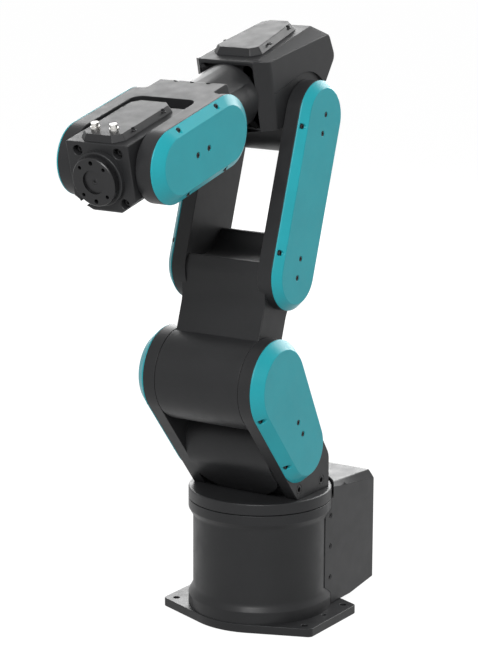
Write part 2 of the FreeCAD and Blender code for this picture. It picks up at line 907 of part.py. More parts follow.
def make_gland():
    """Cable gland on the rear edge of the left side plate."""
    x = f"-hub_radius * cos({BACK_TILT}) - gland_along * sin({BACK_TILT})"
    z = f"hub_radius * sin({BACK_TILT}) - gland_along * cos({BACK_TILT})"
    y = f"{PLATE_IN} + arm_thickness / 2"
    gland = turned(
        "shoulder_gland",
        "shoulder",
        "x",
        stepped(
            ("-gland_length", "-gland_collar", "gland_radius * 0.8"),
            ("-gland_collar", "0", "gland_radius"),
        ),
    )
    spot = f"vector(shoulder_reach + ({x});{y};shoulder_height + ({z}))"
    turn_text = f"rotation(vector(0;1;0);{BACK_TILT})"
    gland.setExpression("Placement", bound(f"placement({spot};{turn_text})"))


# Lightweight belt covers: a flat face with bevelled edges over a cavity that
# clears the belt.
def make_cover(label, side, link, screws, notches):
    body = new_body(label, link["frame"])
    level = link["level"]
    face = f"{level} + {link['depth']}"
    lip = f"{level} + cover_lip"
    bevel = link["bevel"]
    first = link["first"]
    second = link["second"]

    def outline(inset, shorter="0"):
        return hull(
            (f"{first[0]} - {shorter}", first[1], f"{first[2]} - {inset}"),
            (f"{second[0]} + {shorter}", second[1], f"{second[2]} - {inset}"),
        )

    low, high = mirror_y(level, lip, side)
    slab(body, "y", low, high, outline("0"))
    if side > 0:
        bridge(body, "y", lip, outline("0"), face, outline(bevel, link["inset"]))
    else:
        bridge(body, "y", neg(face), outline(bevel, link["inset"]), neg(lip), outline("0"))
    inset = f"({bevel} + cavity_inset)"
    low, high = mirror_y(level, f"{face} - cover_wall", side)
    slab(body, "y", low, high, outline(inset, link["inset"]), cut=True)
    low, high = mirror_y(f"{face} - screw_head_height", face, side)
    seats = [(x, z, "screw_head_radius + screw_seat_gap") for x, z in screws]
    slab(body, "y", low, high, discs(seats), cut=True)
    low, high = mirror_y(f"{face} - cover_wall", face, side)
    slab(body, "y", low, high, discs([(x, z, "screw_shank_radius") for x, z in screws]), cut=True)
    low, high = mirror_y(f"{level} + notch_floor", face, side)
    for inner, outer in notches:
        slot = hull((*inner, "notch_radius"), (*outer, "notch_radius"))
        slab(body, "y", low, high, slot, cut=True)


def cover_screws(label, link, screws, notches):
    """Face screws and edge screws of the pair of covers of one link."""
    members = []
    frame = link["frame"]
    level = link["level"]
    face = f"{level} + {link['depth']}"
    floor = f"{level} + notch_floor"
    faces = [(x, "0", z) for x, z in screws]
    edges = [(inner[0], "0", inner[1]) for inner, outer in notches]
    for side in (1, -1):
        head = mirror_y(f"{face} - screw_head_height", f"{face} - fit_gap", side)
        shank = mirror_y(f"{face} - cover_wall", f"{face} - screw_head_height", side)
        steps = [(*head, "screw_head_radius"), (*shank, "screw_shank_radius")]
        members += rods(label, frame, "y", faces, steps)
        edge = mirror_y(floor, f"{floor} + screw_head_height", side)
        members += rods(label, frame, "y", edges, [(*edge, "screw_head_radius")])
    group(label, members)


def along(first, second_x, second_z, distance, offset="0"):
    """Point at a distance from one end of a cover towards the other, and beside it."""
    length = f"sqrt(({second_x})^2 + ({second_z})^2)"
    unit_x = f"(({second_x}) / {length})"
    unit_z = f"(({second_z}) / {length})"
    x = f"{first[0]} + ({distance}) * {unit_x} - ({offset}) * {unit_z}"
    z = f"{first[1]} + ({distance}) * {unit_z} + ({offset}) * {unit_x}"
    return (x, z)


LINKS = {
    "shoulder": {
        "frame": "shoulder",
        "level": PLATE_OUT,
        "depth": "shoulder_cover_depth",
        "bevel": "shoulder_bevel",
        "first": ("0", "0", "hub_radius"),
        "second": (LOWER_X, LOWER_Z, "shoulder_cover_end"),
        "screws": ("shoulder_screw_near", "shoulder_screw_far"),
        "notches": ("notch_margin", "shoulder_cover_span - notch_margin"),
        "edge": ("hub_radius", "shoulder_cover_end"),
        "inset": "0",
    },
    "upper_arm": {
        "frame": "upper",
        "level": "prong_outer",
        "depth": "upper_cover_depth",
        "bevel": "upper_bevel",
        "first": ("0", "upper_length", "prong_radius"),
        "second": ("0", "upper_length - prong_span", "prong_radius"),
        "screws": (
            "-upper_screw_outer",
            "upper_screw_inner",
            "prong_span - upper_screw_inner",
            "prong_span + upper_screw_outer",
        ),
        "notches": ("upper_notch_margin", "prong_span - upper_notch_margin"),
        "edge": ("prong_radius", "prong_radius"),
        "inset": "0",
    },
    "wrist": {
        "frame": "wrist",
        "level": "fork_half",
        "depth": "wrist_cover_depth",
        "bevel": "wrist_bevel",
        "first": ("0", "0", "wrist_radius"),
        "second": ("-wrist_cover_span", "0", "wrist_radius"),
        "screws": ("wrist_screw_near", "wrist_screw_far"),
        "notches": ("wrist_notch_near", "wrist_notch_far"),
        "edge": ("wrist_radius", "wrist_radius"),
        "inset": "wrist_face_inset",
    },
}


def make_covers():
    for name, link in LINKS.items():
        first = link["first"]
        second = link["second"]
        step_x = f"({second[0]}) - ({first[0]})"
        step_z = f"({second[1]}) - ({first[1]})"
        span = f"sqrt(({step_x})^2 + ({step_z})^2)"
        screws = [along(first, step_x, step_z, distance) for distance in link["screws"]]
        notches = []
        near, far = link["edge"]
        for distance in link["notches"]:
            edge = f"(({near}) + (({far}) - ({near})) * ({distance}) / {span})"
            for sign in ("", "-"):
                inner = f"{sign}({edge} - {link['bevel']} / 2)"
                outer = f"{sign}({edge} + notch_radius)"
                spot = along(first, step_x, step_z, distance, inner)
                notches.append((spot, along(first, step_x, step_z, distance, outer)))
        for label, side in SIDES:
            make_cover(f"{name}_cover_{label}", side, link, screws, notches)
        cover_screws(f"{name}_cover_screws", link, screws, notches)


def make_belt_drive(prefix, frame, motor_at, pulley_at, level, depth, small, large, stub):
    """Motor pulley, driven pulley and belt behind the left cover of a link."""
    low = f"{level} + belt_clearance"
    high = f"{level} + {depth} - cover_wall - belt_clearance"
    for label, spot, radius, bore in (
        ("motor_pulley", motor_at, small, "motor_shaft_radius"),
        ("driven_pulley", pulley_at, large, stub),
    ):
        turned(
            f"{prefix}_{label}",
            frame,
            "y",
            ring_steps(low, high, bore, radius, f"({radius}) + belt_rim_height"),
            x=spot[0],
            z=spot[1],
        )
    belt = new_body(f"{prefix}_belt", frame)
    inner_low = f"{low} + belt_rim_width"
    inner_high = f"{high} - belt_rim_width"
    outer = hull(
        (*motor_at, f"{small} + belt_thickness"), (*pulley_at, f"{large} + belt_thickness")
    )
    slab(belt, "y", inner_low, inner_high, outer)
    slab(belt, "y", inner_low, inner_high, hull((*motor_at, small), (*pulley_at, large)), cut=True)


def make_shoulder_drive():
    seat = f"-{PLATE_IN} + motor_seat"
    shaft_end = f"{PLATE_OUT} + shoulder_cover_depth - cover_wall - belt_clearance"
    turned(
        "j2_motor",
        "shoulder",
        "y",
        stepped(
            (seat, f"{PLATE_IN} - motor_setback", "barrel_radius - barrel_wall - fit_gap"),
            (f"{PLATE_IN} - motor_setback", shaft_end, "motor_shaft_radius"),
        ),
        x=MOTOR_2[0],
        z=MOTOR_2[1],
    )
    turned(
        "j2_gearbox",
        "shoulder",
        "y",
        stepped(
            ("gearbox_end_2", PLATE_IN, "gearbox_radius_2"),
            (PLATE_IN, shaft_end, "stub_radius"),
        ),
    )
    turned(
        "shoulder_trunnion",
        "shoulder",
        "y",
        stepped((neg(PLATE_IN), f"-{PLATE_IN} + trunnion_length", "trunnion_radius")),
    )
    make_belt_drive(
        "j2",
        "shoulder",
        MOTOR_2,
        ("0", "0"),
        PLATE_OUT,
        "shoulder_cover_depth",
        "small_pulley_2",
        "large_pulley_2",
        "stub_radius",
    )


# Upper arm: one casting with the lower hub, a neck, and a block that forks into
# two prongs with a scooped web between them.
PRONG_END = ("0", "upper_length - prong_span")
MOTOR_3 = ("-motor_shift_3", "upper_length - prong_span - motor_drop_3")


def make_upper_arm():
    body = new_body("upper_arm_casting", "upper")
    slab(body, "y", "-hub_half_width", "hub_half_width", discs([("0", "0", "hub_radius")]))
    block = [
        ("neck_front", "0", "0"),
        ("neck_front", "neck_level", "neck_blend"),
        ("block_front", "block_level", "block_blend"),
        ("block_front", "scoop_level", "scoop_edge"),
        ("scoop_floor_x", "scoop_level + scoop_rise", "scoop_radius"),
        ("crest_x", "crest_level", "crest_radius"),
        ("-block_back", "crest_level", "crest_radius"),
        ("-block_back", "block_level", "block_blend"),
        ("-neck_back", "neck_level", "neck_blend"),
        ("-neck_back", "0", "0"),
    ]
    slab(body, "y", "-hub_half_width", "hub_half_width", rounded(block))
    prong = hull(("0", "upper_length", "prong_radius"), (*PRONG_END, "prong_radius"))
    for side in (1, -1):
        low, high = mirror_y("prong_inner", "prong_outer", side)
        slab(body, "y", low, high, prong)
    gearbox = ("0", "0", "gearbox_radius_2 + fit_gap")
    slab(body, "y", "gearbox_end_2 - fit_gap", "hub_half_width", discs([gearbox]), cut=True)
    trunnion = ("0", "0", "trunnion_radius + fit_gap")
    low = "-hub_half_width"
    high = f"-{PLATE_IN} + trunnion_length + fit_gap"
    slab(body, "y", low, high, discs([trunnion]), cut=True)
    motor = [(*MOTOR_3, "motor_radius_3 + fit_gap")]
    slab(body, "y", "motor_seat_3", "prong_outer", discs(motor), cut=True)
    elbow = [("0", "upper_length", "gearbox_radius_3")]
    slab(body, "y", "prong_inner", "prong_outer", discs(elbow), cut=True)
    pin_bore = [("0", "upper_length", "trunnion_radius_3")]
    slab(body, "y", "-prong_outer", "-prong_inner", discs(pin_bore), cut=True)


def make_upper_arm_drive():
    shaft_end = "prong_outer + upper_cover_depth - cover_wall - belt_clearance"
    turned(
        "j3_motor",
        "upper",
        "y",
        stepped(
            ("motor_seat_3", "prong_outer - motor_setback", "motor_radius_3"),
            ("prong_outer - motor_setback", shaft_end, "motor_shaft_radius"),
        ),
        x=MOTOR_3[0],
        z=MOTOR_3[1],
    )
    turned(
        "j3_gearbox",
        "upper",
        "y",
        stepped(
            ("gearbox_end_3", "prong_outer", "gearbox_radius_3"),
            ("prong_outer", shaft_end, "stub_radius"),
        ),
        z="upper_length",
    )
    turned(
        "elbow_trunnion",
        "upper",
        "y",
        stepped(("-prong_outer", "-prong_inner + trunnion_length_3", "trunnion_radius_3")),
        z="upper_length",
    )
    make_belt_drive(
        "j3",
        "upper",
        MOTOR_3,
        ("0", "upper_length"),
        "prong_outer",
        "upper_cover_depth",
        "small_pulley_3",
        "large_pulley_3",
        "stub_radius",
    )


# Elbow: a housing that swings between the prongs and carries the turning tube
# of the fork at its front.
ELBOW_HALF = "(prong_inner - elbow_gap)"
J4_Z = "forearm_offset"
DRIVE_STEP_4 = "(elbow_front - drive_step_4)"


def corner_spots(y, pitch_z, z, radius):
    """Four like places round an axis, as (y, z) circles on a front face."""
    return [(f"{i} * {y}", f"{z} + {j} * {pitch_z}", radius) for i in (1, -1) for j in (1, -1)]


def make_elbow():
    body = new_body("elbow_housing", "forearm")
    half = "elbow_back_half"
    side = [
        ("elbow_front", "elbow_front_low", "elbow_round"),
        ("elbow_front", "elbow_top", "elbow_edge"),
        ("-roof_back", "elbow_top", "elbow_edge"),
        ("-rear_bevel_x", "rear_bevel_z", "elbow_round"),
        ("-elbow_back", "rear_level", "rear_round"),
        ("-elbow_rear_low_x", "elbow_rear_low_z", "elbow_round"),
        ("-elbow_hub_radius / 2", "0", "0"),
        ("elbow_hub_radius / 2", "0", "0"),
    ]
    slab(body, "y", neg(half), half, rounded(side))
    slab(body, "y", neg(ELBOW_HALF), ELBOW_HALF, discs([("0", "0", "elbow_hub_radius")]))
    far = "elbow_back_half * 1.3"
    ahead = "elbow_front + elbow_round"
    for sign in (1, -1):
        flank = [
            (ahead, f"{sign} * elbow_face_half", "0"),
            ("elbow_front", f"{sign} * elbow_face_half", "elbow_face_round"),
            ("elbow_front - elbow_cheek", f"{sign} * elbow_front_half", "elbow_cheek_round"),
            ("-elbow_back", f"{sign} * elbow_back_half", "0"),
            ("-elbow_back", f"{sign} * {far}", "0"),
            (ahead, f"{sign} * {far}", "0"),
        ]
        slab(body, "z", "-elbow_hub_radius", "elbow_top", rounded(flank), cut=True)
        sections = []
        for roof, edge, fall in (
            ("roof_back_half", "elbow_back_half", "roof_fall_back"),
            ("roof_front_half", "elbow_front_half", "roof_fall_front"),
        ):
            low = f"elbow_top - {fall} * ({far} - {roof}) / ({edge} - {roof})"
            sections.append(
                [
                    (f"{sign} * {roof}", "elbow_top", "0"),
                    (f"{sign} * {far}", low, "0"),
                    (f"{sign} * {far}", "elbow_top + elbow_round", "0"),
                ]
            )
        back = "-elbow_back - elbow_round"
        bridge(body, "x", back, rounded(sections[0]), ahead, rounded(sections[1]), cut=True)
    relief = [
        ("prong_relief * 2", "-prong_relief", "0"),
        ("prong_relief * 2", "elbow_relief_top", "0"),
        ("0", "prong_relief * 1.05", "prong_relief"),
        ("-prong_relief * 1.05", "prong_relief * 1.05", "prong_relief"),
        ("-prong_relief * 1.05", "-prong_relief", "0"),
    ]
    for sign in (1, -1):
        low, high = mirror_y(ELBOW_HALF, "elbow_back_half * 2", sign)
        slab(body, "y", low, high, rounded(relief), cut=True)
    gearbox = [("0", "0", "gearbox_radius_3 + fit_gap")]
    slab(body, "y", "gearbox_end_3 - fit_gap", ELBOW_HALF, discs(gearbox), cut=True)
    trunnion = [("0", "0", "trunnion_radius_3 + fit_gap")]
    high = "-prong_inner + trunnion_length_3 + fit_gap"
    slab(body, "y", neg(ELBOW_HALF), high, discs(trunnion), cut=True)
    drive = [("0", J4_Z, "drive_radius_4")]
    slab(body, "x", DRIVE_STEP_4, "elbow_front", discs(drive), cut=True)
    rear = [("0", J4_Z, "motor_radius_4 + fit_gap")]
    slab(body, "x", "drive_rear_4", DRIVE_STEP_4, discs(rear), cut=True)
    pockets = corner_spots("pocket_y", "pocket_z", J4_Z, "pocket_radius")
    slab(body, "x", "elbow_front - pocket_depth", "elbow_front", discs(pockets), cut=True)


def plate_on_top(label, frame, corners, low, high, bevel):
    """Plate with sloping edges over an outline of (x, y, inset sign x, inset sign y)."""
    body = new_body(label, frame)
    outer = [(x, y, "0") for x, y, i, j in corners]
    inner = [(f"{x} - {i} * {bevel}", f"{y} - {j} * {bevel}", "0") for x, y, i, j in corners]
    bridge(body, "z", low, rounded(outer), high, rounded(inner))
    return body


def hatch(front, back, half_front, half_back, clip):
    """Eight-cornered outline of a cover plate, with the outward sign of each corner."""
    corners = []
    for x, half, i in ((front, half_front, 1), (back, half_back, -1)):
        for j in (1, -1) if i > 0 else (-1, 1):
            flank = (f"{x} - {i} * {clip}", f"{j} * ({half})", "0.5" if i > 0 else "-0.5", str(j))
            nose = (x, f"{j} * (({half}) - {clip})", str(i), f"{0.5 * j}")
            corners.extend([flank, nose] if (i > 0) == (j > 0) else [nose, flank])
    return corners


def make_elbow_fittings():
    outline = hatch(
        "elbow_cover_front",
        "-elbow_cover_back",
        "elbow_cover_front_half",
        "elbow_cover_back_half",
        "hatch_clip",
    )
    top = "elbow_top + elbow_cover_height"
    body = plate_on_top("elbow_top_cover", "forearm", outline, "elbow_top", top, "elbow_cover_bevel")
    spots = []
    for x, half in (
        ("hatch_screw_front", "elbow_cover_front_half"),
        ("-hatch_screw_back", "elbow_cover_back_half"),
    ):
        for j in (1, -1):
            spots.append((x, f"{j} * ({half} - elbow_cover_bevel / 2)", "notch_radius"))
    slab(body, "z", f"{top} - notch_depth", top, discs(spots), cut=True)
    low = f"{top} - notch_depth"
    pins(
        "elbow_top_screws",
        "forearm",
        "z",
        [(x, y, "0") for x, y, radius in spots],
        [(low, f"{low} + screw_sink * 2", "screw_head_radius")],
    )
    turned(
        "j4_gearmotor",
        "forearm",
        "x",
        stepped(
            ("drive_rear_4", DRIVE_STEP_4, "motor_radius_4"),
            (DRIVE_STEP_4, "elbow_front", "drive_radius_4"),
        ),
        z=J4_Z,
    )
    pockets = corner_spots("pocket_y", "pocket_z", J4_Z, "pocket_radius")
    pins(
        "elbow_front_screws",
        "forearm",
        "x",
        [("elbow_front - pocket_depth", y, z) for y, z, radius in pockets],
        [("0", "screw_head_height", "pocket_screw_radius")],
    )


# Wrist fork: a tube that turns on the elbow, and two arms that hold the wrist.
REAR_X4 = "elbow_front + tube_gap"
THROAT = "(forearm_length - fork_throat)"
MOTOR_5 = ("forearm_length - wrist_cover_span - wrist_motor_gap", J4_Z)


def make_fork():
    body = new_body("wrist_fork", "forearm")
    slab(body, "x", REAR_X4, "fork_rear + wrist_radius / 2", discs([("0", J4_Z, "tube_radius")]))
    side = [
        ("fork_rear", f"{J4_Z} - wrist_radius", "fork_round"),
        ("forearm_length", f"{J4_Z} - wrist_radius", "0"),
        ("forearm_length", f"{J4_Z} + wrist_radius", "0"),
        ("fork_rear", f"{J4_Z} + wrist_radius", "fork_round"),
    ]
    slab(body, "y", "-fork_half", "fork_half", rounded(side))
    slab(body, "y", "-fork_half", "fork_half", discs([("forearm_length", J4_Z, "wrist_radius")]))
    low = f"{J4_Z} - wrist_radius"
    high = f"{J4_Z} + wrist_radius"
    far = "fork_half * 2"
    for sign in (1, -1):
        flank = [
            ("fork_rear - fork_round", f"{sign} * fork_rear_half", "0"),
            ("fork_step", f"{sign} * fork_rear_half", "fork_round"),
            ("fork_step + fork_slant", f"{sign} * fork_half", "0"),
            ("fork_step", f"{sign} * {far}", "0"),
            ("fork_rear - fork_round", f"{sign} * {far}", "0"),
        ]
        slab(body, "z", low, high, rounded(flank), cut=True)
    ear = hull(
        ("forearm_length", J4_Z, "wrist_radius"),
        ("forearm_length - wrist_cover_span", J4_Z, "wrist_radius"),
    )
    for side in (1, -1):
        slab(body, "y", *mirror_y("fork_half - fork_ear", "fork_half", side), ear)
    window = [
        (THROAT, "-fork_inner", "throat_round"),
        (THROAT, "fork_inner", "throat_round"),
        ("forearm_length + wrist_radius * 2", "fork_inner", "0"),
        ("forearm_length + wrist_radius * 2", "-fork_inner", "0"),
    ]
    slab(body, "z", low, high, rounded(window), cut=True)
    row = "fork_rear + top_screw_inset"
    spots = [(row, f"{i} * top_screw_pitch", "notch_radius") for i in (-1, 0, 1)]
    slab(body, "z", f"{high} - notch_depth", high, discs(spots), cut=True)
    pins(
        "fork_top_screws",
        "forearm",
        "z",
        [(x, y, "0") for x, y, radius in spots],
        [(f"{high} - notch_depth", f"{high} - notch_depth + screw_sink * 2", "screw_head_radius")],
    )
    motor = [(*MOTOR_5, "motor_radius_5 + fit_gap")]
    slab(body, "y", "motor_seat_5", "fork_half", discs(motor), cut=True)
    gearbox = [("forearm_length", J4_Z, "gearbox_radius_5")]
    slab(body, "y", "fork_inner", "fork_half", discs(gearbox), cut=True)
    trunnion = [("forearm_length", J4_Z, "trunnion_radius_5")]
    slab(body, "y", "-fork_half", "-fork_inner", discs(trunnion), cut=True)


def make_fork_drive():
    shaft_end = "fork_half + wrist_cover_depth - cover_wall - belt_clearance"
    turned(
        "j5_motor",
        "forearm",
        "y",
        stepped(
            ("motor_seat_5", "fork_half - motor_setback", "motor_radius_5"),
            ("fork_half - motor_setback", shaft_end, "motor_shaft_radius"),
        ),
        x=MOTOR_5[0],
        z=MOTOR_5[1],
    )
    turned(
        "j5_gearbox",
        "forearm",
        "y",
        stepped(
            ("gearbox_end_5", "fork_half", "gearbox_radius_5"),
            ("fork_half", shaft_end, "stub_radius"),
        ),
        x="forearm_length",
        z=J4_Z,
    )
    turned(
        "wrist_trunnion",
        "forearm",
        "y",
        stepped(("-fork_half", "-fork_inner + trunnion_length_5", "trunnion_radius_5")),
        x="forearm_length",
        z=J4_Z,
    )
    make_belt_drive(
        "j5",
        "forearm",
        MOTOR_5,
        ("forearm_length", J4_Z),
        "fork_half",
        "wrist_cover_depth",
        "small_pulley_5",
        "large_pulley_5",
        "stub_radius",
    )


# Wrist block and tool flange.
BOSS_END = "(block_nose + boss_length)"


def make_wrist_block():
    body = new_body("wrist_block", "wrist")
    side = [
        ("block_nose", "-block_bottom", "block_edge"),
        ("block_nose", "block_top", "0"),
        ("-block_tail", "block_top", "block_edge"),
        ("-block_tail", "block_tail_low", "block_edge"),
        ("-block_belly", "-block_bottom", "block_belly_round"),
    ]
    slab(body, "y", "-block_half", "block_half", rounded(side))
    below = "-block_bottom - block_edge"
    for sign in (1, -1):
        corner = [
            (f"{sign} * (block_half + block_edge)", "-block_corner_z", "0"),
            (f"{sign} * block_half", "-block_corner_z", "block_corner_round"),
            (f"{sign} * block_corner_y", "-block_bottom", "block_corner_round"),
            (f"{sign} * block_corner_y", below, "0"),
            (f"{sign} * (block_half + block_edge)", below, "0"),
        ]
        slab(body, "x", "-block_tail", "block_nose", rounded(corner), cut=True)
    slab(body, "x", "block_nose", BOSS_END, discs([("0", "0", "boss_radius")]))
    gearbox = [("0", "0", "gearbox_radius_5 + fit_gap")]
    slab(body, "y", "gearbox_end_5 - fit_gap", "block_half", discs(gearbox), cut=True)
    trunnion = [("0", "0", "trunnion_radius_5 + fit_gap")]
    high = "-fork_inner + trunnion_length_5 + fit_gap"
    slab(body, "y", "-block_half", high, discs(trunnion), cut=True)
    slab(body, "x", "drive_rear_6", BOSS_END, discs([("0", "0", "drive_radius_6")]), cut=True)
    pockets = corner_spots("block_pocket_y", "block_pocket_z", "0", "pocket_radius")
    slab(body, "x", "block_nose - pocket_depth", "block_nose", discs(pockets), cut=True)


def make_wrist_fittings():
    half = "wrist_hatch_half"
    outline = hatch("wrist_hatch_front", "-wrist_hatch_back", half, half, "hatch_clip")
    top = "block_top + wrist_hatch_height"
    body = plate_on_top("wrist_top_cover", "wrist", outline, "block_top", top, "wrist_hatch_bevel")
    spots = []
    for x in ("wrist_hatch_screw_front", "-wrist_hatch_screw_back"):
        for j in (1, -1):
            spots.append((x, f"{j} * (wrist_hatch_half - wrist_hatch_bevel / 2)", "notch_radius"))
    slab(body, "z", f"{top} - notch_depth", top, discs(spots), cut=True)
    pins(
        "wrist_top_screws",
        "wrist",
        "z",
        [(x, y, "0") for x, y, radius in spots],
        [(f"{top} - notch_depth", f"{top} - notch_depth + screw_sink * 2", "screw_head_radius")],
    )
    fittings = []
    for side in (1, -1):
        for low, high, radius in (
            (top, f"{top} + fitting_height / 2", "fitting_radius"),
            (f"{top} + fitting_height / 2", f"{top} + fitting_height", "fitting_neck"),
        ):
            spot = [("fitting_x", f"{side} * fitting_y", "0")]
            fittings += rods("air_fittings", "wrist", "z", spot, [(low, high, radius)])
    group("air_fittings", fittings)
    turned(
        "j6_gearmotor",
        "wrist",
        "x",
        stepped(("drive_rear_6", f"{BOSS_END} - fit_gap", "drive_radius_6")),
    )
    pockets = corner_spots("block_pocket_y", "block_pocket_z", "0", "pocket_radius")
    pins(
        "wrist_front_screws",
        "wrist",
        "x",
        [("block_nose - pocket_depth", y, z) for y, z, radius in pockets],
        [("0", "screw_head_height", "pocket_screw_radius")],
    )


def make_tool_flange():
    body = new_body("tool_flange", "wrist")
    low = f"{BOSS_END} + flange_gap"
    profile = [
        (low, "0", "0"),
        (low, "flange_radius", "0"),
        ("flange_reach - flange_edge", "flange_radius", "0"),
        ("flange_reach", "flange_radius - flange_edge", "0"),
        ("flange_reach", "flange_recess_radius", "0"),
        ("flange_reach - flange_recess_depth", "flange_recess_radius", "0"),
        ("flange_reach - flange_recess_depth", "0", "0"),
    ]
    turn(body, "x", profile)
    reach = "flange_circle * sqrt(0.5)"
    threads = corner_spots(reach, reach, "0", "flange_thread_radius")
    dowels = [("0", f"{j} * flange_circle", "flange_dowel_radius") for j in (1, -1)]
    slab(body, "x", low, "flange_reach", discs(threads + dowels), cut=True)
    screw_seat = [("0", "0", "flange_screw_radius")]
    floor = "flange_reach - flange_recess_depth"
    seat = f"{floor} - flange_screw_height"
    slab(body, "x", seat, floor, discs(screw_seat), cut=True)
    turned("flange_screw", "wrist", "x", stepped((seat, floor, "flange_screw_radius")))


def check_and_write():
    doc.recompute()
    failed = [item.Name for item in doc.Objects if {"Invalid", "Error"} & set(item.State)]
    if failed:
        raise RuntimeError("failed objects: " + ", ".join(failed))
    for part in PARTS:
        if part.Shape.isNull() or not part.Shape.isValid():
            raise RuntimeError("bad shape: " + part.Label)
    os.makedirs("parts", exist_ok=True)
    for part in PARTS:
        part.Shape.exportStep(f"parts/{part.Label}.step")


make_base_casting()
make_base_drive()
make_connection_box()
make_connection_box_fittings()
make_turntable()
make_shoulder_casting()
make_shoulder_plates()
make_shoulder_bolts()
make_gland()
make_covers()
make_shoulder_drive()
make_upper_arm()
make_upper_arm_drive()
make_elbow()
make_elbow_fittings()
make_fork()
make_fork_drive()
make_wrist_block()
make_wrist_fittings()
make_tool_flange()
check_and_write()
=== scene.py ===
"""Finishes, rounded castings and small parts of a six-axis robot arm with teal belt covers."""

import json
import math

import bmesh
import bpy
from bpy.props import FloatProperty, FloatVectorProperty, IntProperty, PointerProperty
from bpy.types import Operator, Panel, PropertyGroup
from mathutils import Matrix, Vector


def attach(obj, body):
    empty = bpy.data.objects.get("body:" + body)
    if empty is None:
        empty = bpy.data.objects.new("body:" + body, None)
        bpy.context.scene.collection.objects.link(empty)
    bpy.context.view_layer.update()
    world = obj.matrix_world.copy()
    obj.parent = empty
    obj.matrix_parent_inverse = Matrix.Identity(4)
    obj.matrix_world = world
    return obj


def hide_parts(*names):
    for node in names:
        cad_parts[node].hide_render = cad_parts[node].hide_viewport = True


bl_info = {
    "name": "Six-Axis Robot Arm",
    "version": (1, 0, 0),
    "blender": (4, 5, 0),
    "location": "View3D > Sidebar > Robot Arm",
    "description": "Finishes and small parts of a six-axis robot arm",
    "category": "Object",
}

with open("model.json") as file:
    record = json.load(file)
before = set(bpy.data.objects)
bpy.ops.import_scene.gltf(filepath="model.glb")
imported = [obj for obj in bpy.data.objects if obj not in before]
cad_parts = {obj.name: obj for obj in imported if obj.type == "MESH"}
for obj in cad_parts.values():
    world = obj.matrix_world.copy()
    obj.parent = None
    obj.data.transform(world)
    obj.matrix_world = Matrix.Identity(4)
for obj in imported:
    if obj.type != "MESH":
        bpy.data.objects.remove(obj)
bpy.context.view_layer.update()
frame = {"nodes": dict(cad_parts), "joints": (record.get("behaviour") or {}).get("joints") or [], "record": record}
JOINTS = {joint["name"]: joint for joint in frame["joints"]}
SLOTS = {row["node"]: row["material_slot"] for row in frame["record"]["subparts"]}
BODY_OF = {
    node: body
    for body, nodes in frame["record"]["behaviour"]["bodies"].items()
    for node in nodes
}

MM = 0.001
UP = Vector((0, 0, 1))
LEFT = Vector((0, 1, 0))

# Directions along and square to the drooping forearm.
ALONG_FOREARM = Vector(JOINTS["forearm_roll"]["axis"]).normalized()
ABOVE_FOREARM = ALONG_FOREARM.cross(LEFT)

# How strongly the coats reflect, where a half is the usual amount.
CASTING_REFLECTION = 0.22
COVER_REFLECTION = 0.25

FLOOR_RADIUS = 60.0
FLOOR_DROP = 0.5 * MM
LAMP_AIM = (0.05, 0, 0.4)

# Name, place, width and height of each soft box, and the setting that holds its watts.
LAMPS = (
    ("key_lamp", (2.2, 0.8, 2.2), (1.2, 1.2), "key_power"),
    ("top_lamp", (-2.4, 0.65, 1.85), (1.6, 1.6), "top_power"),
    ("back_lamp", (-2.9, -1.7, 1.5), (3.2, 2.4), "back_power"),
    ("side_lamp", (0.9, 2.4, 1.0), (1.2, 1.6), "side_power"),
)


# Sizes and colours

def colour(name, description, default):
    return FloatVectorProperty(
        name=name, description=description, default=default, subtype="COLOR", size=3, min=0, max=1
    )


def length(name, description, millimetres):
    return FloatProperty(
        name=name,
        description=description,
        default=millimetres * MM,
        min=0,
        precision=4,
        unit="LENGTH",
        subtype="DISTANCE",
    )


def share(name, description, default):
    return FloatProperty(
        name=name, description=description, default=default, min=0, max=1, subtype="FACTOR"
    )


class RobotArmColours(PropertyGroup):
    casting: colour("Castings", "Powder coat on the castings", (0.016, 0.0163, 0.0172))
    box: colour("Connection box", "Coat on the box behind the base", (0.03, 0.0303, 0.0314))
    cover: colour("Belt covers", "Moulded plastic of the side covers", (0.012, 0.285, 0.33))
    flange: colour("Tool flange", "Black anodised aluminium", (0.008, 0.008, 0.0088))
    screw: colour("Screws", "Blackened steel", (0.02, 0.02, 0.021))
    nickel: colour("Air fittings", "Nickel plate", (0.62, 0.61, 0.59))
    moulding: colour("Sockets", "Black moulded plastic", (0.012, 0.012, 0.013))
    steel: colour("Drives", "Turned steel", (0.4, 0.4, 0.41))
    belt: colour("Belts", "Belt rubber", (0.015, 0.015, 0.016))


class RobotArmEdges(PropertyGroup):
    casting: length("Casting edge", "Rounding on the edges of castings", 0.9)
    plate: length("Plate edge", "Rounding on the edges of machined plates", 0.6)
    wrist: length("Wrist edge", "Rounding on the edges of the wrist block", 1.6)
    cover: length("Cover edge", "Rounding where the faces of a cover meet", 0.8)
    sheet: length("Sheet edge", "Rounding on the folds of the connection box", 1.2)
    steps: IntProperty(name="Steps", description="Flats in each rounding", default=3, min=1)
    sharp_angle: FloatProperty(
        name="Sharp angle",
        description="Edges that turn more than this are rounded",
        default=math.radians(24),
        subtype="ANGLE",
    )


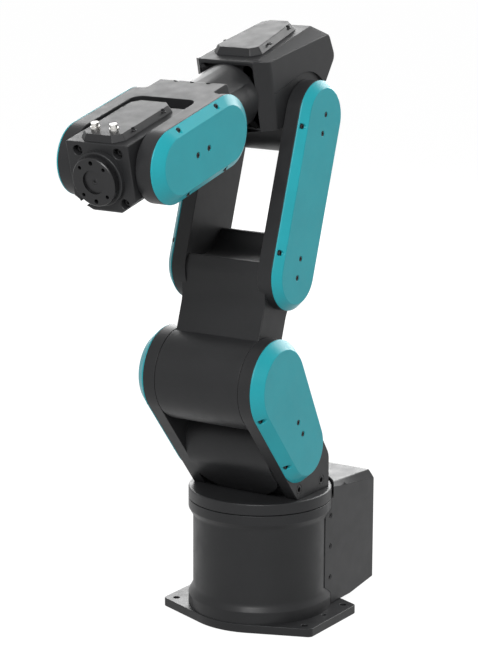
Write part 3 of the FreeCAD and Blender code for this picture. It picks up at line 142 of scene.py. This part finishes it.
class RobotArmShoulder(PropertyGroup):
    barrel_radius: length("Barrel radius", "Radius of the motor barrel", 46)
    front_tilt: FloatProperty(
        name="Front tilt",
        description="Slope of the front wall below the barrel",
        default=math.radians(39.5),
        subtype="ANGLE",
    )
    wall: length("Front wall", "Thickness of the front wall", 12)
    side_gap: length("Side gap", "Gap between the front wall and the plates", 0.4)
    swell: length("Swell", "How far the front wall stands out from the barrel", 4)
    lift: length("Lift", "Front wall's lower edge above the foot, along its slope", 2)
    straight_share: share("Straight share", "Share of the wall that has straight sides", 0.35)
    lower_turn: FloatProperty(
        name="Lower turn",
        description="Arc that each lower corner of the front wall follows",
        default=math.radians(56),
        subtype="ANGLE",
    )
    wrap: FloatProperty(
        name="Wrap",
        description="Arc of the barrel that the front wall covers",
        default=math.radians(105),
        subtype="ANGLE",
    )
    rows: IntProperty(name="Rows", description="Steps along the arc and wall", default=20, min=2)


class RobotArmFasteners(PropertyGroup):
    key_share: share("Key size", "Hexagon of a screw, as a share of its head", 0.52)
    socket_share: share("Key depth", "Depth of the hexagon, as a share of the head", 0.6)
    rim_share: share("Head rounding", "Rounding of the head's rim, as a share of it", 0.14)
    head_steps: IntProperty(name="Head steps", description="Sides of a round head", default=36)


class RobotArmStudio(PropertyGroup):
    lens: FloatProperty(name="Lens", description="Focal length", default=133.128, unit="CAMERA")
    distance: length("Distance", "Level distance from the base axis", 3220.78)
    height: length("Height", "Height of the camera", 1128.22)
    bearing: FloatProperty(
        name="Bearing",
        description="Side that the camera stands on, from forward to left",
        default=math.radians(32.21),
        subtype="ANGLE",
    )
    pitch: FloatProperty(
        name="Pitch", description="Tilt of the view", default=math.radians(-12.55), subtype="ANGLE"
    )
    yaw: FloatProperty(
        name="Yaw", description="Turn of the view", default=math.radians(0.54), subtype="ANGLE"
    )
    roll: FloatProperty(
        name="Roll", description="Roll of the view", default=math.radians(0.23), subtype="ANGLE"
    )
    floor: colour("Floor", "Pale studio floor", (0.6, 0.6, 0.6))
    floor_glow: FloatProperty(
        name="Floor brightness", description="How bright the floor is seen", default=1.15, min=0
    )
    shadow: share("Shadow", "How much of the floor's own shading is seen", 0.16)
    sky: FloatProperty(name="Sky", description="Light from all round", default=0.28, min=0)
    key_power: FloatProperty(name="Key lamp", description="Watts", default=78.0, min=0)
    top_power: FloatProperty(name="Top lamp", description="Watts", default=62.0, min=0)
    back_power: FloatProperty(name="Back lamp", description="Watts", default=135.0, min=0)
    side_power: FloatProperty(name="Side lamp", description="Watts", default=2.0, min=0)


class RobotArmSettings(PropertyGroup):
    colours: PointerProperty(type=RobotArmColours)
    edges: PointerProperty(type=RobotArmEdges)
    shoulder: PointerProperty(type=RobotArmShoulder)
    fasteners: PointerProperty(type=RobotArmFasteners)
    studio: PointerProperty(type=RobotArmStudio)


def settings():
    return bpy.context.scene.robot_arm


# Material nodes

class Recipe:
    """A node material that is built up step by step."""

    def __init__(self, name, base, roughness, metallic=0.0):
        self.material = bpy.data.materials.new(name)
        self.material.use_nodes = True
        self.material.diffuse_color = (*base, 1)
        self.tree = self.material.node_tree
        self.shader = self.tree.nodes["Principled BSDF"]
        self.base = tuple(base)
        self.roughness = roughness
        self.shader.inputs["Base Color"].default_value = (*base, 1)
        self.shader.inputs["Roughness"].default_value = roughness
        self.shader.inputs["Metallic"].default_value = metallic
        self.place = self.tree.nodes.new("ShaderNodeTexCoord").outputs["Object"]
        self.normal = None

    def add(self, kind, **values):
        node = self.tree.nodes.new(kind)
        for key, value in values.items():
            setattr(node, key, value)
        return node

    def link(self, start, end):
        self.tree.links.new(start, end)

    def noise(self, size, detail=4.0, roughness=0.55, stretch=None):
        """Noise whose grains are about as long as size, in metres."""
        noise = self.add("ShaderNodeTexNoise")
        noise.inputs["Scale"].default_value = 1 / size
        noise.inputs["Detail"].default_value = detail
        noise.inputs["Roughness"].default_value = roughness
        if stretch:
            mapping = self.add("ShaderNodeMapping")
            mapping.inputs["Scale"].default_value = stretch
            self.link(self.place, mapping.inputs["Vector"])
            self.link(mapping.outputs["Vector"], noise.inputs["Vector"])
        else:
            self.link(self.place, noise.inputs["Vector"])
        return noise.outputs["Fac"]

    def remap(self, source, low, high, to_low, to_high):
        node = self.add("ShaderNodeMapRange")
        for index, value in enumerate((low, high, to_low, to_high), start=1):
            node.inputs[index].default_value = value
        self.link(source, node.inputs[0])
        return node.outputs[0]

    def math(self, operation, first, second):
        node = self.add("ShaderNodeMath", operation=operation)
        for index, value in enumerate((first, second)):
            if isinstance(value, (int, float)):
                node.inputs[index].default_value = value
            else:
                self.link(value, node.inputs[index])
        return node.outputs[0]

    def tint(self, factor, colour, strength=1.0):
        """Mix the base colour towards another by a factor."""
        mix = self.add("ShaderNodeMix", data_type="RGBA")
        socket = self.shader.inputs["Base Color"]
        if socket.is_linked:
            self.link(socket.links[0].from_socket, mix.inputs["A"])
        else:
            mix.inputs["A"].default_value = (*self.base, 1)
        mix.inputs["B"].default_value = (*colour, 1)
        self.link(self.math("MULTIPLY", factor, strength), mix.inputs["Factor"])
        self.link(mix.outputs["Result"], socket)

    def vary_roughness(self, factor, spread):
        low = max(self.roughness - spread, 0.02)
        high = min(self.roughness + spread, 1.0)
        self.link(self.remap(factor, 0.3, 0.7, low, high), self.shader.inputs["Roughness"])

    def bump(self, height, depth, strength=1.0):
        """Relief of a given depth in metres, on top of the relief made before."""
        node = self.add("ShaderNodeBump")
        node.inputs["Strength"].default_value = strength
        node.inputs["Distance"].default_value = depth
        self.link(height, node.inputs["Height"])
        if self.normal:
            self.link(self.normal, node.inputs["Normal"])
        self.normal = node.outputs["Normal"]
        self.link(self.normal, self.shader.inputs["Normal"])

    def edges(self, radius, low=0.02, high=0.18):
        """Mask that is bright along outer edges, used to paint highlights there."""
        bevel = self.add("ShaderNodeBevel", samples=4)
        bevel.inputs["Radius"].default_value = radius
        plain = self.add("ShaderNodeNewGeometry")
        dot = self.add("ShaderNodeVectorMath", operation="DOT_PRODUCT")
        self.link(bevel.outputs["Normal"], dot.inputs[0])
        self.link(plain.outputs["Normal"], dot.inputs[1])
        return self.remap(self.math("SUBTRACT", 1.0, dot.outputs["Value"]), low, high, 0.0, 1.0)


def powder_coat(name, base, roughness, grain):
    """Satin powder coat: fine orange peel, faint clouds and painted highlights along the edges."""
    recipe = Recipe(name, base, roughness)
    paler = [min(1.0, channel * 1.9 + 0.01) for channel in base]
    darker = [channel * 0.72 for channel in base]
    recipe.tint(recipe.remap(recipe.noise(60 * MM, 3), 0.35, 0.7, 0, 1), darker, 0.5)
    speck = recipe.remap(recipe.noise(grain * 1.6, 2), 0.62, 0.74, 0, 1)
    recipe.tint(speck, paler, 0.25)
    # Painted highlight: the outer edges are tinted paler to stand in for light catching them.
    recipe.tint(recipe.edges(1.2 * MM), paler, 0.45)
    recipe.vary_roughness(recipe.noise(20 * MM, 5), 0.05)
    recipe.bump(recipe.noise(grain, 3), grain * 0.05, 0.45)
    recipe.bump(recipe.noise(grain * 9, 2), grain * 0.06, 0.25)
    recipe.shader.inputs["Specular IOR Level"].default_value = CASTING_REFLECTION
    return recipe.material


def moulded_cover(name, base, roughness):
    """Satin moulded plastic with a very fine spark-eroded grain."""
    recipe = Recipe(name, base, roughness)
    deeper = [channel * 0.8 for channel in base]
    paler = [min(1.0, channel * 1.12 + 0.006) for channel in base]
    recipe.tint(recipe.remap(recipe.noise(50 * MM, 3), 0.35, 0.7, 0, 1), deeper, 0.35)
    recipe.tint(recipe.remap(recipe.noise(0.9 * MM, 2), 0.55, 0.75, 0, 1), paler, 0.5)
    recipe.vary_roughness(recipe.noise(15 * MM, 4), 0.04)
    recipe.bump(recipe.noise(0.6 * MM, 2), 0.02 * MM, 0.5)
    recipe.shader.inputs["Specular IOR Level"].default_value = COVER_REFLECTION
    return recipe.material


def turned_metal(name, base, roughness, axis, centre, pitch, metallic=1.0):
    """Metal with the fine rings that a lathe leaves round an axis."""
    recipe = Recipe(name, base, roughness, metallic)
    offset = recipe.add("ShaderNodeVectorMath", operation="SUBTRACT")
    recipe.link(recipe.place, offset.inputs[0])
    offset.inputs[1].default_value = centre
    cross = recipe.add("ShaderNodeVectorMath", operation="CROSS_PRODUCT")
    recipe.link(offset.outputs["Vector"], cross.inputs[0])
    cross.inputs[1].default_value = axis
    length_node = recipe.add("ShaderNodeVectorMath", operation="LENGTH")
    recipe.link(cross.outputs["Vector"], length_node.inputs[0])
    rings = recipe.add("ShaderNodeMath", operation="SINE")
    recipe.link(
        recipe.math("MULTIPLY", length_node.outputs["Value"], 2 * math.pi / pitch), rings.inputs[0]
    )
    recipe.bump(rings.outputs[0], pitch * 0.03, 0.5)
    recipe.vary_roughness(recipe.noise(4 * MM, 4), 0.06)
    # Painted highlight: the outer edges are tinted paler to stand in for light catching them.
    paler = [min(1.0, channel * 1.6 + 0.02) for channel in base]
    recipe.tint(recipe.edges(0.6 * MM), paler, 0.5)
    return recipe.material


def black_oxide(name, base):
    """Blackened screw steel, with painted highlights at the rims."""
    recipe = Recipe(name, base, 0.42, 0.6)
    # Painted highlight: the rims are tinted paler to stand in for light catching them.
    recipe.tint(recipe.edges(0.4 * MM, 0.04, 0.3), (0.16, 0.16, 0.165), 0.5)
    recipe.vary_roughness(recipe.noise(1.5 * MM, 3), 0.1)
    recipe.bump(recipe.noise(0.6 * MM, 2), 0.02 * MM, 0.4)
    return recipe.material


def nickel_plate(name, base):
    """Bright plate with faint clouds and small dents."""
    recipe = Recipe(name, base, 0.24, 1.0)
    recipe.tint(recipe.remap(recipe.noise(4 * MM, 3), 0.4, 0.7, 0, 1), (0.45, 0.44, 0.42), 0.35)
    recipe.vary_roughness(recipe.noise(3 * MM, 3), 0.06)
    recipe.bump(recipe.noise(1.2 * MM, 3), 0.02 * MM, 0.3)
    return recipe.material


def moulded_black(name, base):
    """Black moulding with a fine grain."""
    recipe = Recipe(name, base, 0.5)
    recipe.tint(recipe.remap(recipe.noise(3 * MM, 2), 0.5, 0.7, 0, 1), (0.03, 0.03, 0.032), 0.4)
    recipe.vary_roughness(recipe.noise(4 * MM, 3), 0.06)
    recipe.bump(recipe.noise(0.8 * MM, 2), 0.04 * MM, 0.5)
    return recipe.material


def belt_rubber(name, base):
    """Dull rubber with a fabric weave along the belt."""
    recipe = Recipe(name, base, 0.75)
    weave = recipe.noise(0.8 * MM, 2, stretch=(1, 6, 1))
    recipe.tint(recipe.remap(weave, 0.5, 0.7, 0, 1), (0.05, 0.05, 0.05), 0.5)
    recipe.vary_roughness(recipe.noise(3 * MM, 3), 0.08)
    recipe.bump(weave, 0.1 * MM, 0.6)
    return recipe.material


def brushed_steel(name, base):
    """Steel with fine grinding marks along one way."""
    recipe = Recipe(name, base, 0.36, 1.0)
    grain = recipe.noise(0.9 * MM, 3, stretch=(1, 0.08, 1))
    recipe.tint(recipe.remap(grain, 0.35, 0.7, 0, 1), (0.28, 0.28, 0.29), 0.5)
    recipe.vary_roughness(grain, 0.08)
    recipe.bump(grain, 0.03 * MM, 0.5)
    return recipe.material


FINISHES = {}


def finish_of(slot):
    """Material of one of the record's slots, made when first asked for."""
    if slot in FINISHES:
        return FINISHES[slot]
    colours = settings().colours
    flange_axis = Vector(JOINTS["flange_roll"]["axis"])
    flange_at = Vector(JOINTS["flange_roll"]["pos_m"])
    makers = {
        "anthracite_castings": lambda: powder_coat(
            "casting_coat", colours.casting, 0.42, 0.9 * MM
        ),
        "box_sheet": lambda: powder_coat("box_coat", colours.box, 0.46, 0.7 * MM),
        "teal_covers": lambda: moulded_cover("cover_plastic", colours.cover, 0.38),
        "flange_anodised": lambda: turned_metal(
            "flange_anodising", colours.flange, 0.34, flange_axis, flange_at, 0.6 * MM, 0.35
        ),
        "black_screws": lambda: black_oxide("screw_steel", colours.screw),
        "nickel_fittings": lambda: nickel_plate("fitting_nickel", colours.nickel),
        "socket_plastic": lambda: moulded_black("socket_moulding", colours.moulding),
        "motor_housings": lambda: powder_coat("motor_paint", colours.flange, 0.4, 0.6 * MM),
        "drive_steel": lambda: brushed_steel("drive_steel", colours.steel),
        "pulley_aluminium": lambda: brushed_steel("pulley_metal", (0.6, 0.6, 0.62)),
        "belt_rubber": lambda: belt_rubber("belt_rubber", colours.belt),
    }
    FINISHES[slot] = makers[slot]()
    return FINISHES[slot]


# Meshes

def new_piece(name, bm, node, slot=None, smooth_angle=30):
    """Object from a mesh that stands for a CAD node and moves with its body."""
    mesh = bpy.data.meshes.new(name)
    bm.to_mesh(mesh)
    bm.free()
    mesh.shade_smooth()
    mesh.set_sharp_from_angle(angle=math.radians(smooth_angle))
    piece = bpy.data.objects.new(name, mesh)
    shading = piece.modifiers.new("even_shading", "WEIGHTED_NORMAL")
    shading.keep_sharp = True
    bpy.context.scene.collection.objects.link(piece)
    slot = slot or SLOTS[node]
    mesh.materials.append(finish_of(slot))
    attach(piece, BODY_OF[node])
    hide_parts(node)
    return piece


def node_mesh(node):
    """Welded copy of a CAD node's mesh, with its flat faces joined."""
    bm = bmesh.new()
    bm.from_mesh(frame["nodes"][node].data)
    bmesh.ops.remove_doubles(bm, verts=bm.verts, dist=1e-6)
    bmesh.ops.dissolve_limit(
        bm, angle_limit=math.radians(0.2), verts=bm.verts, edges=bm.edges, delimit={"NORMAL"}
    )
    return bm


def rounded_piece(node, width):
    """Copy of a CAD node with all its sharp outer edges rounded."""
    edges = settings().edges
    bm = node_mesh(node)
    sharp = [
        edge
        for edge in bm.edges
        if edge.is_manifold and edge.calc_face_angle_signed(0) > edges.sharp_angle
    ]
    bmesh.ops.bevel(
        bm,
        geom=sharp,
        offset=width,
        offset_type="OFFSET",
        segments=edges.steps,
        profile=0.5,
        affect="EDGES",
        clamp_overlap=False,
        harden_normals=False,
        miter_outer="ARC",
    )
    return new_piece(node + "_rounded", bm, node)


def middle(node):
    """Centre of the box round a CAD node."""
    corners = [vert.co for vert in frame["nodes"][node].data.vertices]
    sides = [(min(values), max(values)) for values in zip(*corners)]
    return Vector([(low + high) / 2 for low, high in sides])


def islands(node):
    """Corner lists of the separate solids in a CAD node."""
    bm = bmesh.new()
    bm.from_mesh(frame["nodes"][node].data)
    bmesh.ops.remove_doubles(bm, verts=bm.verts, dist=1e-6)
    left = set(bm.verts)
    groups = []
    while left:
        queue = [left.pop()]
        found = []
        while queue:
            vert = queue.pop()
            found.append(vert.co.copy())
            for edge in vert.link_edges:
                other = edge.other_vert(vert)
                if other in left:
                    left.remove(other)
                    queue.append(other)
        groups.append(found)
    bm.free()
    return groups


def turned_frame(origin, axis):
    """Matrix that stands local Z along an axis at a place."""
    turn = UP.rotation_difference(axis).to_matrix().to_4x4()
    return Matrix.Translation(origin) @ turn


def bridge_rings(bm, low, high):
    """Faces between two rings of points, either of which may be a single point."""
    count = max(len(low), len(high))
    for i in range(count):
        j = (i + 1) % count
        if len(low) == 1:
            bm.faces.new((low[0], high[j], high[i]))
        elif len(high) == 1:
            bm.faces.new((low[i], low[j], high[0]))
        else:
            bm.faces.new((low[i], low[j], high[j], high[i]))


def prism_ring(bm, place, across, height, sides, steps):
    """Ring of points round a regular prism, as many as a round ring has."""
    ring = []
    corner = across / 2 / math.cos(math.pi / sides)
    for i in range(steps):
        angle = 2 * math.pi * i / steps
        inside = (angle + math.pi / sides) % (2 * math.pi / sides) - math.pi / sides
        radius = corner * math.cos(math.pi / sides) / math.cos(inside)
        spot = Vector((radius * math.cos(angle), radius * math.sin(angle), height))
        ring.append(bm.verts.new(place @ spot))
    return ring


def cap_screw(bm, place, radius, height):
    """Screw head with a rounded rim and a hexagon key socket, top at height zero."""
    sizes = settings().fasteners
    steps = sizes.head_steps
    rim = radius * sizes.rim_share
    key = 2 * radius * sizes.key_share
    deep = min(radius * sizes.socket_share, height * 0.8)
    profile = [(0, -height), (radius, -height), (radius, -rim)]
    profile += [
        (radius - rim * (1 - math.cos(a)), -rim * (1 - math.sin(a)))
        for a in (math.pi / 6, math.pi / 3, math.pi / 2)
    ]
    rings = []
    for r, z in profile:
        if r <= 0:
            rings.append([bm.verts.new(place @ Vector((0, 0, z)))])
        else:
            rings.append(prism_ring(bm, place, 2 * r, z, steps, steps))
    lead = radius * 0.06
    rings.append(prism_ring(bm, place, key + 2 * lead, 0, 6, steps))
    rings.append(prism_ring(bm, place, key, -lead, 6, steps))
    rings.append(prism_ring(bm, place, key, -deep, 6, steps))
    rings.append([bm.verts.new(place @ Vector((0, 0, -deep - key * 0.1)))])
    for low, high in zip(rings, rings[1:]):
        bridge_rings(bm, low, high)


def screws_of(node, axis, two_sided=False):
    """Detailed screws in the places of a CAD node's plain ones."""
    bm = bmesh.new()
    for corners in islands(node):
        centre = sum(corners, Vector()) / len(corners)
        outward = -axis if two_sided and centre.dot(axis) < 0 else axis
        top = max(corner.dot(outward) for corner in corners)
        low = min(corner.dot(outward) for corner in corners)
        radius = max((c - centre - outward * (c - centre).dot(outward)).length for c in corners)
        on_axis = centre + outward * (top - centre.dot(outward))
        cap_screw(bm, turned_frame(on_axis, outward), radius, top - low)
    bmesh.ops.recalc_face_normals(bm, faces=bm.faces)
    return new_piece(node + "_capscrews", bm, node)


# Operators

class PieceOperator:
    bl_options = {"REGISTER", "UNDO"}

    def execute(self, context):
        self.make(context.scene.robot_arm)
        return {"FINISHED"}


class ROBOTARM_OT_base(PieceOperator, Operator):
    """Round the edges of the foot, column and turntable castings"""

    bl_idname = "robotarm.base"
    bl_label = "Base Castings"

    def make(self, arm):
        for node in ("base_casting", "turntable"):
            rounded_piece(node, arm.edges.casting)


class ROBOTARM_OT_box(PieceOperator, Operator):
    """Round the folds of the connection box and its panel"""

    bl_idname = "robotarm.box"
    bl_label = "Connection Box"

    def make(self, arm):
        for node in ("connection_box", "connector_panel"):
            rounded_piece(node, arm.edges.sheet)


def wall_section(bm, front, inward, wide, wall):
    """Four points across a wall of a given half width, front face first."""
    back = front + inward * wall
    spots = (front - LEFT * wide, front + LEFT * wide, back + LEFT * wide, back - LEFT * wide)
    return [bm.verts.new(spot) for spot in spots]


def shoulder_front(sizes):
    """Front wall that wraps the motor barrel, runs down to the foot and ends in a round edge."""
    corners = [vert.co for vert in frame["nodes"]["shoulder_casting"].data.vertices]
    foot = min(corner.z for corner in corners)
    half = max(corner.y for corner in corners) - sizes.side_gap
    outward = Vector((math.cos(sizes.front_tilt), 0, -math.sin(sizes.front_tilt)))
    down = Vector((-math.sin(sizes.front_tilt), 0, -math.cos(sizes.front_tilt)))
    motor = middle("j2_motor")
    barrel = Vector((motor.x, 0, motor.z))
    outer = sizes.barrel_radius + sizes.swell
    top = barrel + outward * outer
    deep = (top.z - foot) / -down.z - sizes.lift
    straight = deep * sizes.straight_share
    bm = bmesh.new()
    rings = []
    for i in range(sizes.rows):
        angle = sizes.wrap * (1 - i / sizes.rows)
        spoke = outward * math.cos(angle) - down * math.sin(angle)
        rings.append(wall_section(bm, barrel + spoke * outer, -spoke, half, sizes.wall))
    for i in range(sizes.rows + 1):
        along = deep * i / sizes.rows
        turn = max(along - straight, 0) / (deep - straight) * sizes.lower_turn
        wide = half * math.cos(turn)
        rings.append(wall_section(bm, top + down * along, -outward, wide, sizes.wall))
    for low, high in zip(rings, rings[1:]):
        bridge_rings(bm, low, high)
    bm.faces.new(rings[0])
    bm.faces.new(rings[-1])
    bmesh.ops.recalc_face_normals(bm, faces=bm.faces)
    return new_piece("shoulder_front_wall", bm, "shoulder_casting")


class ROBOTARM_OT_shoulder(PieceOperator, Operator):
    """Round the shoulder casting and its plates, and set the front wall on the barrel"""

    bl_idname = "robotarm.shoulder"
    bl_label = "Shoulder"

    def make(self, arm):
        rounded_piece("shoulder_casting", arm.edges.casting)
        shoulder_front(arm.shoulder)
        for node in ("shoulder_plate_left", "shoulder_plate_right"):
            rounded_piece(node, arm.edges.plate)


class ROBOTARM_OT_upper_arm(PieceOperator, Operator):
    """Round the edges of the upper arm casting"""

    bl_idname = "robotarm.upper_arm"
    bl_label = "Upper Arm"

    def make(self, arm):
        rounded_piece("upper_arm_casting", arm.edges.casting)


class ROBOTARM_OT_elbow(PieceOperator, Operator):
    """Round the edges of the elbow housing and its top cover"""

    bl_idname = "robotarm.elbow"
    bl_label = "Elbow"

    def make(self, arm):
        rounded_piece("elbow_housing", arm.edges.casting)
        rounded_piece("elbow_top_cover", arm.edges.casting)


class ROBOTARM_OT_fork(PieceOperator, Operator):
    """Round the edges of the forearm tube and fork"""

    bl_idname = "robotarm.fork"
    bl_label = "Wrist Fork"

    def make(self, arm):
        rounded_piece("wrist_fork", arm.edges.casting)


class ROBOTARM_OT_wrist(PieceOperator, Operator):
    """Round the edges of the wrist block and its top cover"""

    bl_idname = "robotarm.wrist"
    bl_label = "Wrist Block"

    def make(self, arm):
        rounded_piece("wrist_block", arm.edges.wrist)
        rounded_piece("wrist_top_cover", arm.edges.plate)


class ROBOTARM_OT_covers(PieceOperator, Operator):
    """Round the edges of the six belt covers"""

    bl_idname = "robotarm.covers"
    bl_label = "Belt Covers"

    def make(self, arm):
        for link in ("shoulder", "upper_arm", "wrist"):
            for side in ("left", "right"):
                rounded_piece(f"{link}_cover_{side}", arm.edges.cover)


class ROBOTARM_OT_screws(PieceOperator, Operator):
    """Set a cap screw with a key socket in each screw's place"""

    bl_idname = "robotarm.screws"
    bl_label = "Screws"

    def make(self, arm):
        for node in (
            "box_screws",
            "shoulder_bolts",
            "shoulder_cover_screws",
            "upper_arm_cover_screws",
            "wrist_cover_screws",
        ):
            screws_of(node, LEFT, two_sided=True)
        for node in ("elbow_top_screws", "fork_top_screws", "wrist_top_screws"):
            screws_of(node, ABOVE_FOREARM)
        for node in ("elbow_front_screws", "wrist_front_screws", "flange_screw"):
            screws_of(node, ALONG_FOREARM)


class ROBOTARM_OT_drives(PieceOperator, Operator):
    """Finish the remaining pieces that keep their CAD shape"""

    bl_idname = "robotarm.drives"
    bl_label = "Drives and Small Parts"

    def make(self, arm):
        for node, piece in frame["nodes"].items():
            piece.data.materials.clear()
            piece.data.materials.append(finish_of(SLOTS[node]))


def area_lamp(name, spot, size, power):
    """Soft box, width by height, that lights the object and isn't seen itself."""
    data = bpy.data.lights.new(name, "AREA")
    data.shape = "RECTANGLE"
    data.size, data.size_y = size
    data.energy = power
    lamp = bpy.data.objects.new(name, data)
    bpy.context.scene.collection.objects.link(lamp)
    lamp.location = spot
    lamp.rotation_euler = (Vector(LAMP_AIM) - Vector(spot)).to_track_quat("-Z", "Y").to_euler()
    lamp.visible_camera = False


def make_camera(studio):
    data = bpy.data.cameras.new("photo_camera")
    data.lens = studio.lens
    data.sensor_width = 36
    camera = bpy.data.objects.new("photo_camera", data)
    bpy.context.scene.collection.objects.link(camera)
    facing = studio.bearing + math.pi + studio.yaw
    forward = Vector(
        (
            math.cos(facing) * math.cos(studio.pitch),
            math.sin(facing) * math.cos(studio.pitch),
            math.sin(studio.pitch),
        )
    )
    right = forward.cross(UP).normalized()
    above = right.cross(forward)
    across = math.cos(studio.roll) * right + math.sin(studio.roll) * above
    upright = math.cos(studio.roll) * above - math.sin(studio.roll) * right
    turn = Matrix((across, upright, -forward)).transposed()
    camera.matrix_world = Matrix.Translation(
        (
            studio.distance * math.cos(studio.bearing),
            studio.distance * math.sin(studio.bearing),
            studio.height,
        )
    ) @ turn.to_4x4()
    bpy.context.scene.camera = camera


def seen_directly(tree):
    """One for rays from the camera, a reflection or through glass, else nought."""
    path = tree.nodes.new("ShaderNodeLightPath")
    total = path.outputs["Is Camera Ray"]
    for ray in ("Is Glossy Ray", "Is Transmission Ray"):
        either = tree.nodes.new("ShaderNodeMath")
        either.operation = "MAXIMUM"
        tree.links.new(total, either.inputs[0])
        tree.links.new(path.outputs[ray], either.inputs[1])
        total = either.outputs[0]
    return total


def make_world(studio):
    world = bpy.data.worlds.new("studio")
    world.use_nodes = True
    tree = world.node_tree
    background = tree.nodes["Background"]
    background.inputs["Color"].default_value = (1, 1, 1, 1)
    strength = tree.nodes.new("ShaderNodeMapRange")
    strength.inputs["To Min"].default_value = studio.sky
    strength.inputs["To Max"].default_value = 1.0
    tree.links.new(seen_directly(tree), strength.inputs["Value"])
    tree.links.new(strength.outputs["Result"], background.inputs["Strength"])
    bpy.context.scene.world = world


def make_floor(studio):
    bm = bmesh.new()
    bmesh.ops.create_circle(bm, cap_ends=True, segments=96, radius=FLOOR_RADIUS)
    mesh = bpy.data.meshes.new("studio_floor")
    bm.to_mesh(mesh)
    bm.free()
    floor = bpy.data.objects.new("studio_floor", mesh)
    bpy.context.scene.collection.objects.link(floor)
    floor.location.z = -FLOOR_DROP
    material = bpy.data.materials.new("studio_floor")
    material.use_nodes = True
    tree = material.node_tree
    shader = tree.nodes["Principled BSDF"]
    shader.inputs["Base Color"].default_value = (*studio.floor, 1)
    shader.inputs["Roughness"].default_value = 0.8
    shader.inputs["Specular IOR Level"].default_value = 0.0
    glow = tree.nodes.new("ShaderNodeEmission")
    glow.inputs["Strength"].default_value = studio.floor_glow
    mix = tree.nodes.new("ShaderNodeMixShader")
    shown = tree.nodes.new("ShaderNodeMath")
    shown.operation = "MULTIPLY"
    shown.inputs[1].default_value = 1 - studio.shadow
    tree.links.new(seen_directly(tree), shown.inputs[0])
    tree.links.new(shown.outputs[0], mix.inputs[0])
    tree.links.new(shader.outputs[0], mix.inputs[1])
    tree.links.new(glow.outputs[0], mix.inputs[2])
    tree.links.new(mix.outputs[0], tree.nodes["Material Output"].inputs["Surface"])
    mesh.materials.append(material)


class ROBOTARM_OT_stage(PieceOperator, Operator):
    """Set up the floor, the lamps and the camera"""

    bl_idname = "robotarm.stage"
    bl_label = "Stage"

    def make(self, arm):
        studio = arm.studio
        make_floor(studio)
        make_world(studio)
        make_camera(studio)
        for name, spot, size, power in LAMPS:
            area_lamp(name, spot, size, getattr(studio, power))


PIECES = (
    ROBOTARM_OT_base,
    ROBOTARM_OT_box,
    ROBOTARM_OT_shoulder,
    ROBOTARM_OT_upper_arm,
    ROBOTARM_OT_elbow,
    ROBOTARM_OT_fork,
    ROBOTARM_OT_wrist,
    ROBOTARM_OT_covers,
    ROBOTARM_OT_screws,
    ROBOTARM_OT_drives,
    ROBOTARM_OT_stage,
)


class ROBOTARM_PT_panel(Panel):
    """Pieces and settings of the robot arm"""

    bl_idname = "ROBOTARM_PT_panel"
    bl_label = "Robot Arm"
    bl_space_type = "VIEW_3D"
    bl_region_type = "UI"
    bl_category = "Robot Arm"

    def draw(self, context):
        arm = context.scene.robot_arm
        for operator in PIECES:
            self.layout.operator(operator.bl_idname)
        for group in (arm.colours, arm.edges, arm.shoulder, arm.fasteners, arm.studio):
            box = self.layout.box()
            for name in group.__annotations__:
                box.prop(group, name)


CLASSES = (
    RobotArmColours,
    RobotArmEdges,
    RobotArmShoulder,
    RobotArmFasteners,
    RobotArmStudio,
    RobotArmSettings,
    *PIECES,
    ROBOTARM_PT_panel,
)


def register():
    for item in CLASSES:
        bpy.utils.register_class(item)
    bpy.types.Scene.robot_arm = PointerProperty(type=RobotArmSettings)


def unregister():
    del bpy.types.Scene.robot_arm
    for item in reversed(CLASSES):
        bpy.utils.unregister_class(item)


def main():
    register()
    bpy.context.scene.view_settings.view_transform = "Standard"
    for operator in PIECES:
        getattr(bpy.ops.robotarm, operator.bl_idname.split(".")[1])()


if __name__ == "__main__":
    main()
